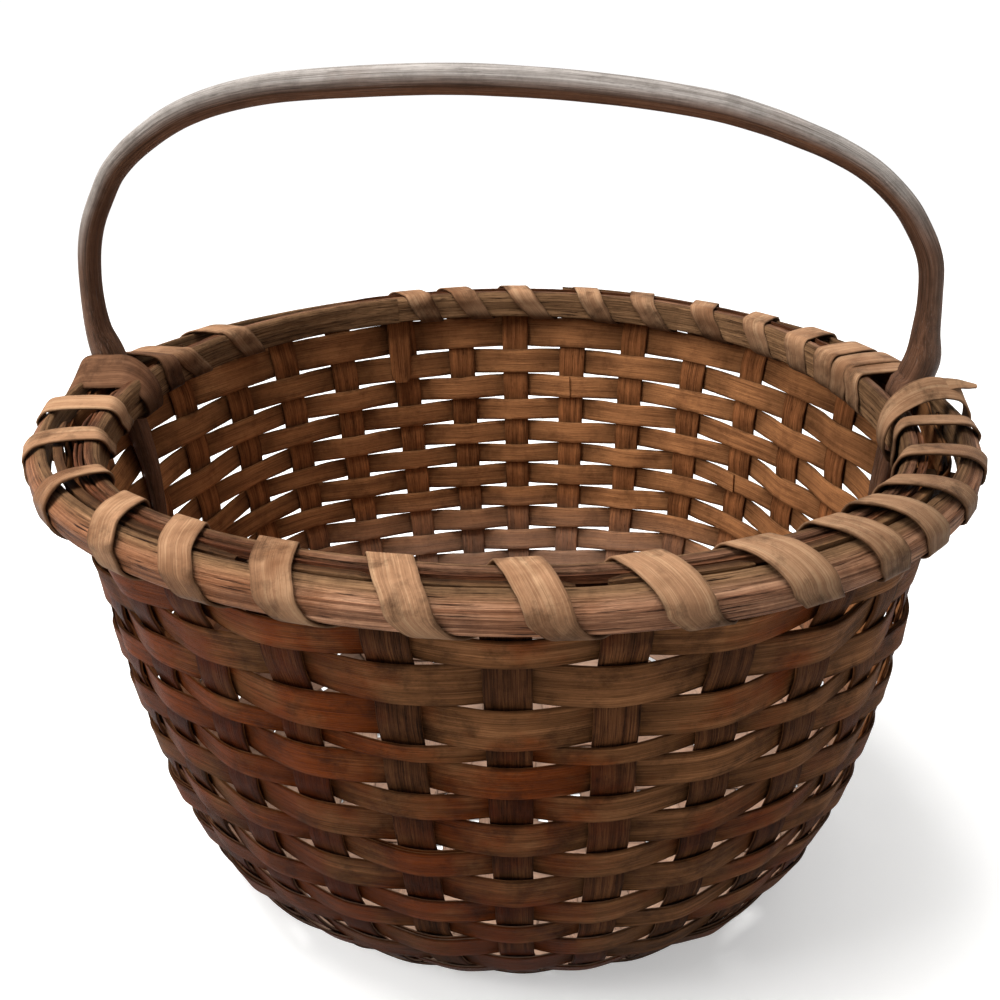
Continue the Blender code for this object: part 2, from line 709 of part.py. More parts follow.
def add_lashing(name, gaps):
    """Add one length of lashing that winds round both hoops, a turn for each gap."""
    slot = RIM_ROW_TOP - RIM_ROW_WIDTH - LASHING_DROP
    skin = LASHING_THICKNESS / 2 + 1.6 * CLEARANCE
    rings = []
    for here, there in zip(gaps, gaps[1:]):
        for station in lashing_turn(skin, slot):
            share, inset_of, height = station
            heading = here + (there - here) * share
            place_at = rim_point if height == slot else bar_point
            rings.append((heading, place_at(heading, inset_of(heading), height)))
    last = gaps[-1]
    rings.append((last, rim_point(last, WALL_INSET + wall_pull(last), slot)))
    sections = []
    for i, (heading, place) in enumerate(rings):
        before = rings[max(i - 1, 0)][1]
        after = rings[min(i + 1, len(rings) - 1)][1]
        along = (after - before).normalized()
        tangent = Vector((0.0, 0.0, 1.0)).cross(outward_at(heading, 0.0))
        face = along.cross(tangent).normalized()
        sections.append(strip_section(place, tangent, face, LASHING_WIDTH, LASHING_THICKNESS))
    add_mesh(name, sections, False, (0.33, 0.23, 0.15))


def lashing_turn(skin, slot):
    """Return the stations of one turn: share of its advance, inset and height."""
    top = INNER_HOOP_RISE
    low = INNER_HOOP_RISE - INNER_HOOP_HEIGHT

    def wall(heading):
        return WALL_INSET + wall_pull(heading)

    def inner_far(heading):
        return INNER_HOOP_INSET + hoop_spread(heading) + INNER_HOOP_THICKNESS + skin + LASHING_SLACK

    def inner_near(heading):
        return INNER_HOOP_INSET + hoop_spread(heading)

    return [
        (0.00, wall, slot),
        (0.00, inner_far, low - skin * 1.3),
        (0.06, inner_far, top - INNER_HOOP_CHAMFER + skin / 2),
        (0.12, lambda a: inner_far(a) - INNER_HOOP_CHAMFER - skin / 2, top + skin),
        (0.18, lambda a: inner_near(a), top + skin),
        (0.22, wall, FILLER_RISE + skin),
        (0.28, lambda a: OUTER_HOOP_THICKNESS * 0.75, skin * 1.2),
        (0.42, lambda a: -skin, -OUTER_HOOP_BEVEL + skin),
        (0.62, lambda a: -skin, -OUTER_HOOP_HEIGHT * 0.85 - skin / 2),
        (0.75, lambda a: OUTER_HOOP_THICKNESS * 0.2 - skin / 2, -OUTER_HOOP_HEIGHT - skin * 1.5),
    ]


def stand_on_floor():
    """Move every piece so that the box is centred and stands on z = 0."""
    pieces = [piece for piece in bpy.data.objects if piece.type == "MESH"]
    points = [vertex.co for piece in pieces for vertex in piece.data.vertices]
    low = [min(point[axis] for point in points) for axis in range(3)]
    high = [max(point[axis] for point in points) for axis in range(3)]
    shift = Vector((-(low[0] + high[0]) / 2, -(low[1] + high[1]) / 2, -low[2]))
    for piece in pieces:
        for vertex in piece.data.vertices:
            vertex.co += shift
        piece.data.update()


def main():
    """Build the basket from the base up."""
    clear_objects()
    stakes = build_stakes()
    add_base_splints(stakes)
    add_weavers(stakes)
    add_hoops()
    left, right = foot_heading(-1) % (2 * pi), foot_heading(1)
    foot_room = radians(6.0)
    add_filler("filler_splint_front", left + foot_room, right + 2 * pi - foot_room)
    add_filler("filler_splint_back", right + foot_room, left - foot_room)
    add_handle()
    for name, gaps in zip(("lashing_left", "lashing_front", "lashing_back"), lashing_runs()):
        add_lashing(name, gaps)
    stand_on_floor()


main()
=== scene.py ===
"""Gathering basket woven from flat wood splints, with a carved hoop handle.

Fifteen base splints cross in a plaited rectangle and turn up the wall as thirty stakes.
A rim row and eighteen rows below it go over and under them, each one splint with lapped ends.
Two split-wood hoops and thin fillers make the rim, a long flat splint lashes them,
and the handle's feet and tapered tails stand between the hoops, inside the wall.

Every piece follows a path worked out from the basket's form and is given its body
by one Geometry Nodes tree, which sweeps a section along the path.
"""

import json
import logging
from dataclasses import dataclass, field, replace
from enum import Enum
from math import atan2, cos, exp, pi, radians, sin

import bpy
import numpy as np
from mathutils import Matrix, Vector

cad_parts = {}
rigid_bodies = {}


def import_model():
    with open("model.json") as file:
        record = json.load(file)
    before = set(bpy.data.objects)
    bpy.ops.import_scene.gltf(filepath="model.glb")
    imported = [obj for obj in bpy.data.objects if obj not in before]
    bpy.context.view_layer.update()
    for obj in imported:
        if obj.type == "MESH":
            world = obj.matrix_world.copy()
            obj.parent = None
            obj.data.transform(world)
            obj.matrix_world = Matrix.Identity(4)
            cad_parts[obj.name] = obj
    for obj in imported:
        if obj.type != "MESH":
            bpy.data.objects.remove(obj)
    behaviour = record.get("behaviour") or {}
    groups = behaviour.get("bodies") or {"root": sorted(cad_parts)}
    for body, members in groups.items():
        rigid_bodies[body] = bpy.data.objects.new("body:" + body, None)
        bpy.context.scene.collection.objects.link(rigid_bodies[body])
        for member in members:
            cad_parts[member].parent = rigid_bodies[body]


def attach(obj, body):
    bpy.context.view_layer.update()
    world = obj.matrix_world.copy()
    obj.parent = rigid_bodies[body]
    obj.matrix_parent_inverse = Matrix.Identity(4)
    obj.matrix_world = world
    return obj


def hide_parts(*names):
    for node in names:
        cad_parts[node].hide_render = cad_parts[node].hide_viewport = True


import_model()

MM = 0.001
log = logging.getLogger("gathering_basket")
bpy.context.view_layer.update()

# Node types, settings and sockets that recur in the graphs below. A SPAN's settings are the range that it
# reads and the range that it gives, which is 0 to 1 if left out.
MATH, VECTOR_MATH = "ShaderNodeMath", "ShaderNodeVectorMath"
SPAN, MIX, NOISE = "ShaderNodeMapRange", "ShaderNodeMix", "ShaderNodeTexNoise"
ATTRIBUTE, STORE = "GeometryNodeInputNamedAttribute", "GeometryNodeStoreNamedAttribute"
COMBINE, SEPARATE = "ShaderNodeCombineXYZ", "ShaderNodeSeparateXYZ"
ADD, TAKE, TIMES, OVER = ({"operation": name} for name in ("ADD", "SUBTRACT", "MULTIPLY", "DIVIDE"))
TIMES_ADD, GREATEST = {"operation": "MULTIPLY_ADD"}, {"operation": "MAXIMUM"}
RGBA = {"data_type": "RGBA"}
MIX_A, MIX_B, MIX_RESULT, NUMBER_A, NUMBER_B = 6, 7, 2, 2, 3

# The drawing frame has z = 0 at the top of the outer hoop; this places it in the model
DRAWING_ORIGIN = np.array((2.0847, 13.6869, 237.732)) * MM


def linear(hex_colour: str) -> tuple[float, float, float, float]:
    """Turn an sRGB hex colour into the linear values that shaders take.

    Args:
        hex_colour: six hex digits, such as "8a6a4c".

    Returns:
        Linear red, green, blue and an alpha of 1.
    """
    channels = [int(hex_colour[i:i + 2], 16) / 255 for i in (0, 2, 4)]
    values = [c / 12.92 if c <= 0.04045 else ((c + 0.055) / 1.055) ** 2.4 for c in channels]
    return (values[0], values[1], values[2], 1.0)


def add_node(tree: bpy.types.NodeTree, kind: str, settings: dict | None = None,
             links: dict | None = None) -> bpy.types.Node:
    """Add one node to a tree.

    Args:
        tree: the shader or geometry tree.
        kind: the node's type name.
        settings: lower-case names set on the node; other names and numbers set its inputs.
        links: input name or number to the output socket that feeds it.

    Returns:
        The new node.
    """
    node = tree.nodes.new(kind)
    for key, value in (settings or {}).items():
        if isinstance(key, str) and key[0].islower():
            setattr(node, key, value)
        else:
            node.inputs[key].default_value = value
    for key, source in (links or {}).items():
        tree.links.new(source, node.inputs[key])
    return node


def add_graph(tree: bpy.types.NodeTree, made: dict[str, bpy.types.NodeSocket], rows: tuple | list) -> None:
    """Add the nodes that a table lists, each fed by sockets that were named before it.

    Args:
        tree: the shader or geometry tree.
        made: the sockets named so far; each row's result is added under its name.
        rows: for each node its name, its type, its settings, and the names of the sockets that feed it.
            A tuple of settings fills the inputs from number 1 on, a tuple of names from number 0 on.
    """
    for name, kind, settings, sources in rows:
        if isinstance(settings, tuple):
            settings = dict(enumerate(settings, 1))
        if isinstance(sources, tuple):
            sources = dict(enumerate(sources))
        node = add_node(tree, kind, settings, {key: made[source] for key, source in sources.items()})
        made[name] = node.outputs[MIX_RESULT if settings.get("data_type") == "RGBA" else 0]


def angle_between(first: float, second: float) -> float:
    """Return the size of the angle between two headings."""
    return abs((first - second + pi) % (2 * pi) - pi)


def cubic(start: float | np.ndarray, end: float | np.ndarray, slope_in: float | np.ndarray,
          slope_out: float | np.ndarray, share: float | np.ndarray) -> float | np.ndarray:
    """Draw the smooth step between two values that has the given slopes at its ends.

    Args:
        start: value, or rows of values, at a share of 0.
        end: the same at a share of 1.
        slope_in: slope at the start, over the whole step.
        slope_out: slope at the end.
        share: how far along the step, from 0 to 1.

    Returns:
        The value there, of the same shape as the others.
    """
    square, cube = share ** 2, share ** 3
    return ((2 * cube - 3 * square + 1) * start + (cube - 2 * square + share) * slope_in
            + (3 * square - 2 * cube) * end + (cube - square) * slope_out)


def unit(vectors: np.ndarray) -> np.ndarray:
    """Return rows of vectors at unit length."""
    return vectors / np.maximum(np.linalg.norm(vectors, axis=-1, keepdims=True), 1e-12)


def smooth_rows(rows: np.ndarray, step: float) -> np.ndarray:
    """Draw a smooth curve through rows whose first three columns are a place.

    Args:
        rows: one row for each control point; the other columns are carried along.
        step: the spacing of the result, in metres.

    Returns:
        Evenly spaced rows.
    """
    gaps = np.maximum(np.linalg.norm(np.diff(rows[:, :3], axis=0), axis=1), 1e-7)
    at = np.concatenate(([0.0], np.cumsum(gaps)))
    slopes = np.empty_like(rows)
    slopes[1:-1] = (rows[2:] - rows[:-2]) / (at[2:] - at[:-2])[:, None]
    slopes[0] = (rows[1] - rows[0]) / gaps[0]
    slopes[-1] = (rows[-1] - rows[-2]) / gaps[-1]
    wanted = np.linspace(0.0, at[-1], max(int(at[-1] / step), 3) + 1)
    index = np.clip(np.searchsorted(at, wanted, side="right") - 1, 0, len(gaps) - 1)
    span = gaps[index][:, None]
    share = ((wanted - at[index]) / gaps[index])[:, None]
    return cubic(rows[index], rows[index + 1], span * slopes[index], span * slopes[index + 1], share)


# Form of the basket

@dataclass
class BasketForm:
    """Sizes that every sub-assembly shares, and the surfaces they give."""

    # The rim is not round: it is oval, a little three-cornered, and pushed out at the left foot
    hoop_radius: float = 187.2 * MM
    hoop_oval: float = 5.1 * MM
    hoop_oval_turn: float = radians(-25.0)
    hoop_lean: float = 3.3 * MM
    rim_centre_y: float = -17.0 * MM
    side_bulge: float = 5.5 * MM
    side_bulge_heading: float = radians(172.0)
    side_bulge_reach: float = radians(24.0)
    side_bulge_drop: float = 0.5
    hoop_lift: float = 0.6 * MM
    hoop_tilt: float = 2.0 * MM
    hoop_tilt_heading: float = radians(240.0)
    depth: float = 235.0 * MM
    # The wall's outline: share of the depth, and radius as a share of the rim's
    shape: tuple = ((0.07, 1.000), (0.20, 0.969), (0.45, 0.953), (0.70, 0.909), (0.88, 0.839),
                    (0.962, 0.752), (1.000, 0.645))
    base_x: float = -3.15 * MM
    base_oval: float = 8.7 * MM
    stake_count: int = 30
    stake_width: float = 15.5 * MM
    stake_thickness: float = 1.2 * MM
    stake_top: float = -0.8 * MM
    # In degrees, counter-clockwise from the right
    stake_headings: tuple = (6.5, 20.0, 32.3, 44.0, 57.1, 70.6, 83.2, 94.8, 105.6, 117.0, 129.5, 141.0,
                             152.0, 163.3, 174.8, 186.2, 197.5, 208.7, 219.8, 230.8, 242.2, 254.2, 267.2,
                             279.4, 291.0, 302.6, 314.2, 325.4, 338.0, 352.0)
    weaver_thickness: float = 1.0 * MM
    rim_row_top: float = -2.0 * MM
    rim_row_width: float = 10.0 * MM
    slot: float = 5.0 * MM
    # What each row takes of a stake's length, from the top down
    rows_front: tuple = (11.5, 19.3, 18.2, 7.5, 15.0, 12.5, 17.5, 14.0, 17.5, 15.0, 13.0, 15.0,
                         17.0, 17.5, 18.0, 18.5, 18.5, 19.0)
    rows_back: tuple = (18.0, 16.0, 15.0, 15.0, 15.0, 13.5, 15.0, 14.5, 15.0, 15.0, 15.0, 15.5,
                        15.5, 15.5, 15.5, 16.0, 16.0, 16.5)
    rows_front_heading: float = radians(279.0)
    rows_front_reach: float = radians(50.0)
    base_width: float = 13.0 * MM
    base_pitch: float = 18.0 * MM
    base_along_y: int = 8
    base_along_x: int = 7
    base_turn: float = radians(8.0)
    base_edge_margin: float = 3.0 * MM
    base_corner_margin: float = 10.0 * MM
    corner_ease: float = 0.6
    corner_ease_from: float = 0.75
    upright_slope: float = 0.95
    outer_thickness: float = 8.0 * MM
    outer_height: float = 12.5 * MM
    outer_bevel: float = 5.0 * MM
    inner_thickness: float = 5.5 * MM
    inner_height: float = 14.0 * MM
    inner_rise: float = 1.0 * MM
    filler_rise: float = 0.5 * MM
    wall_inset: float = 10.986 * MM
    inner_inset: float = 15.486 * MM
    handle_y: float = -7.0 * MM
    # Left foot, then right foot: how far it spreads the hoops, how far forward, and the reach
    spreads: tuple = ((-1, 14.0 * MM, radians(5.0), radians(52.0)), (1, 11.5 * MM, 0.0, radians(50.0)))
    wall_share: float = 0.4
    wall_notch: float = radians(13.0)
    spread_fade: float = 0.35
    # How far to each side directions along the rim and the wall are taken, in radians
    nudge: float = 0.01

    @property
    def rim_radius(self) -> float:
        """Return the wall's radius at the rim."""
        return self.hoop_radius - self.wall_inset

    def rim_point(self, heading: float, inset: float, height: float) -> np.ndarray:
        """Find a point on a hoop line.

        Args:
            heading: the way the point lies from the basket's middle.
            inset: how far it is inside the outer hoop's outer face.
            height: its height in the drawing frame.

        Returns:
            The point.
        """
        radius = (self.hoop_radius + self.hoop_oval * cos(2 * (heading - self.hoop_oval_turn))
                  - self.hoop_lean * sin(3 * heading) + self.bulge(heading) - inset)
        return np.array((radius * cos(heading), self.rim_centre_y + radius * sin(heading), height))

    def bulge(self, heading: float) -> float:
        """Return how far the rim stands out where the left foot has pushed it."""
        away = angle_between(heading, self.side_bulge_heading) / self.side_bulge_reach
        return self.side_bulge * exp(-away * away)

    def tilt(self, heading: float) -> float:
        """Return how far the hoops stand above the level of the drawing frame."""
        return self.hoop_lift + self.hoop_tilt * cos(heading - self.hoop_tilt_heading)

    def bar_point(self, heading: float, inset: float, height: float) -> np.ndarray:
        """Return a point on a hoop line, at a height above the hoops' own level."""
        return self.rim_point(heading, inset, height + self.tilt(heading))

    def rim_tangent(self, heading: float, inset: float = 0.0) -> np.ndarray:
        """Return the level direction of a hoop line as the heading grows."""
        ahead, behind = heading + self.nudge, heading - self.nudge
        return unit(self.rim_point(ahead, inset, 0.0) - self.rim_point(behind, inset, 0.0))

    def rim_outward(self, heading: float, inset: float) -> np.ndarray:
        """Return the level direction square to a hoop line, outwards."""
        tangent = self.rim_tangent(heading, inset)
        return np.array((tangent[1], -tangent[0], 0.0))

    def foot_heading(self, side: int) -> float:
        """Return the heading of the handle's foot at x below zero (-1) or above it (1)."""
        return atan2(self.handle_y - self.rim_centre_y, side * self.rim_radius)

    def hoop_spread(self, heading: float) -> float:
        """Work out how far the feet push the inner hoop off the wall.

        Args:
            heading: where along the hoop.

        Returns:
            The sum of what the two feet do there.
        """
        total = 0.0
        for side, amount, forward, reach in self.spreads:
            away = angle_between(heading, self.foot_heading(side) - side * forward)
            if away < reach:
                total += amount * cos(pi / 2 * away / reach) ** 2
        return total

    def wall_pull(self, heading: float) -> float:
        """Return how far the wall stands off the outer hoop beside the feet."""
        near = min(angle_between(heading, self.foot_heading(side)) for side in (-1, 1))
        return self.hoop_spread(heading) * self.wall_share * (1.0 - exp(-(near / self.wall_notch) ** 2))

    def wall_side(self, heading: float) -> float:
        """Return the inset of the wall's middle at the rim."""
        return self.wall_inset + self.wall_pull(heading)

    def inner_side(self, heading: float) -> float:
        """Return the inset of the inner hoop's outer face."""
        return self.inner_inset + self.hoop_spread(heading)

    def radius_share(self, share: float) -> float:
        """Read the body's outline as a smooth curve through its shape table.

        Args:
            share: share of the depth.

        Returns:
            The radius there, as a share of the rim's.
        """
        table = self.shape
        i = 0
        while i < len(table) - 2 and share > table[i + 1][0]:
            i += 1
        (x0, y0), (x1, y1) = table[i], table[i + 1]
        low, high = max(i - 1, 0), min(i + 2, len(table) - 1)
        slope_in = (y1 - table[low][1]) / (x1 - table[low][0])
        slope_out = (table[high][1] - y0) / (table[high][0] - x0)
        return cubic(y0, y1, (x1 - x0) * slope_in, (x1 - x0) * slope_out, (share - x0) / (x1 - x0))

    def wall_point(self, heading: float, share: float) -> np.ndarray:
        """Find a point on the wall's middle surface.

        Args:
            heading: the way the point lies from the basket's middle.
            share: its depth under the rim, as a share of the body's.

        Returns:
            The point.
        """
        upright = self.shape[0][0]
        curved = max(0.0, share - upright) / (1.0 - upright)
        fade = max(0.0, 1.0 - curved / self.spread_fade) ** 2
        oval = self.hoop_oval + (self.base_oval - self.hoop_oval) * curved
        turn = self.hoop_oval_turn * (1.0 - curved)
        radius = (self.rim_radius * self.radius_share(max(share, upright))
                  + oval * cos(2 * (heading - turn))
                  - self.hoop_lean * (1.0 - curved) * sin(3 * heading) - self.wall_pull(heading) * fade
                  + self.bulge(heading) * max(0.0, 1.0 - curved / self.side_bulge_drop))
        return np.array((self.base_x * curved + radius * cos(heading),
                         self.rim_centre_y * (1.0 - curved) + radius * sin(heading), -self.depth * share))

    def wall_outward(self, heading: float, share: float) -> np.ndarray:
        """Return the level outward direction of the wall's outline at one depth."""
        along = self.wall_point(heading + self.nudge, share) - self.wall_point(heading - self.nudge, share)
        return unit(np.array((along[1], -along[0], 0.0)))

    def stake_heading(self, index: int) -> float:
        """Return the heading at which a stake climbs the wall."""
        return radians(self.stake_headings[index])

    def row_shares(self, heading: float) -> list[float]:
        """Work out what each row takes of a stake's length; hand-split rows vary round the wall.

        Args:
            heading: the stake's heading.

        Returns:
            The rows' shares, from the top down.
        """
        away = angle_between(heading, self.rows_front_heading) / self.rows_front_reach
        front = exp(-away * away)
        return [back + (fore - back) * front for fore, back in zip(self.rows_front, self.rows_back)]

    def base_exit(self, index: int) -> tuple[np.ndarray, np.ndarray]:
        """Find where a stake leaves the plaited base.

        Args:
            index: the stake's number.

        Returns:
            The place, from the middle of the base, and the level direction there.
        """
        half_y, half_x = (self.base_along_y - 1) / 2, (self.base_along_x - 1) / 2
        edge_x = half_y * self.base_pitch + self.base_width / 2
        edge_y = half_x * self.base_pitch + self.base_width / 2
        first_y = int(half_x) + 1
        last_y = first_y + self.base_along_y
        opposite = last_y + self.base_along_x
        if index < first_y:
            row, half, quarter, edge = index, half_x, 0, edge_x
        elif index >= self.stake_count - int(half_x):
            row, half, quarter, edge = index - self.stake_count, half_x, 0, edge_x
        elif index < last_y:
            row, half, quarter, edge = index - first_y - half_y, half_y, 1, edge_y
        elif index < opposite:
            row, half, quarter, edge = index - last_y - half_x, half_x, 2, edge_x
        else:
            row, half, quarter, edge = index - opposite - half_y, half_y, 3, edge_y
        margin = (self.base_edge_margin
                  + (self.base_corner_margin - self.base_edge_margin) * (row / half) ** 2)
        angle = quarter * pi / 2 + self.base_turn
        along = np.array((cos(angle), sin(angle), 0.0))
        sideways = np.array((-sin(angle), cos(angle), 0.0))
        return along * (edge + margin) + sideways * row * self.base_pitch, along

    def heading_at(self, index: int, share: float) -> float:
        """Find a stake's heading, which eases over near the base towards its splint.

        Args:
            index: the stake's number.
            share: share of the depth.

        Returns:
            The heading there.
        """
        heading = self.stake_heading(index)
        ease = max(0.0, (share - self.corner_ease_from) / (1.0 - self.corner_ease_from))
        place, along = self.base_exit(index)
        foot = self.rim_radius * self.shape[-1][1]
        across = np.array((-along[1], along[0], 0.0))
        offset = float(place @ across)
        straight = along * (foot * foot - offset * offset) ** 0.5 + across * offset
        apart = (atan2(straight[1], straight[0]) - heading + pi) % (2 * pi) - pi
        return heading + apart * self.corner_ease * cubic(0.0, 1.0, 0.0, 0.0, ease)


@dataclass
class StakeLine:
    """Where one stake runs, and the frame of each row of weaving that crosses it."""

    form: BasketForm
    index: int
    wall_points: int = 161
    base_points: int = 40
    stations: np.ndarray = field(init=False)
    outwards: np.ndarray = field(init=False)

    def __post_init__(self) -> None:
        """Work out the points between the rows and the way each row faces."""
        form = self.form
        slot_share = (-form.rim_row_top + form.rim_row_width + form.slot) / form.depth
        shares = np.linspace(slot_share, 1.0, self.wall_points)
        route = [form.wall_point(form.heading_at(self.index, share), share) for share in shares]
        place, _ = form.base_exit(self.index)
        inwards = np.array((form.base_x + place[0], place[1], -form.depth)) - route[-1]
        route += [route[-1] + inwards * i / self.base_points for i in range(1, self.base_points + 1)]
        route = np.array(route)
        lengths = np.concatenate(([0.0], np.cumsum(np.linalg.norm(np.diff(route, axis=0), axis=1))))
        taken = np.concatenate(([0.0], np.cumsum(form.row_shares(form.stake_heading(self.index)))))
        wanted = taken / taken[-1] * lengths[-1]
        below = np.stack([np.interp(wanted, lengths, route[:, axis]) for axis in range(3)], axis=1)
        rim = form.wall_point(form.stake_heading(self.index), 0.0)
        self.stations = np.vstack(((rim[0], rim[1], form.stake_top), below))
        rows = []
        for upper, lower in zip(self.stations, self.stations[1:]):
            down = unit(lower - upper)
            share = min(1.0, max(0.0, -(upper[2] + lower[2]) / 2 / form.depth))
            radial = form.wall_outward(form.heading_at(self.index, share), share)
            flat = max(0.0, 1.0 + down[2] / form.upright_slope)
            level = np.array((-down[0], -down[1], 0.0))
            radial = unit(radial + (unit(level) - radial) * flat) if flat > 0 else radial
            rows.append(unit(np.cross(down, np.array((-radial[1], radial[0], 0.0)))))
        self.outwards = np.array(rows)

    def row_middle(self, row: int) -> np.ndarray:
        """Find the point of the stake's centre line that the middle of a row crosses.

        Args:
            row: the row, 0 at the rim.

        Returns:
            The point.
        """
        form = self.form
        if row == 0:
            below = form.stake_top - form.rim_row_top + form.rim_row_width / 2
            return self.stations[0] - np.array((0.0, 0.0, below))
        return (self.stations[row] + self.stations[row + 1]) / 2

    def row_width(self, row: int, gap: float) -> float:
        """Find the width of the weaver that crosses the stake in a row.

        Args:
            row: the row, 0 at the rim.
            gap: the opening to the next row.

        Returns:
            The width.
        """
        if row == 0:
            return self.form.rim_row_width
        return float(np.linalg.norm(self.stations[row + 1] - self.stations[row])) - gap

    def width_at(self, station: float) -> float:
        """Return the stake's width at a station, wide at the rim and narrow at the base."""
        share = min(1.0, station / (len(self.stations) - 1))
        return self.form.stake_width + (self.form.base_width - self.form.stake_width) * share


# Finishes

class Grain(Enum):
    """A stock's grain: width and length of its streaks, then of its pores, in millimetres."""

    # Real fibres and pores are 0.1 to 0.3 mm wide; they are drawn as coarse as they need to show
    SPLINT = (0.55, 26.0, 0.42, 7.0)
    SPLIT_BAR = (0.9, 60.0, 0.75, 18.0)
    CARVED_BAR = (0.7, 70.0, 0.5, 12.0)


# Where wear, dirt, painted shade and painted light lie on the basket, in metres: each goes from none to its
# full amount
HANDLED_X, HANDLED_Z = (0.04, -0.10), (0.17, 0.02)
PALE_AND_LIT_BASE_Z, FOOT_Z = (0.11, 0.03), (0.17, 0.0)
RIM_Z, UNDER_HOOP_Z = (0.222, 0.230), (0.2390, 0.2265)
CORNER_X, CORNER_Y = (0.05, 0.16), (0.03, -0.05)


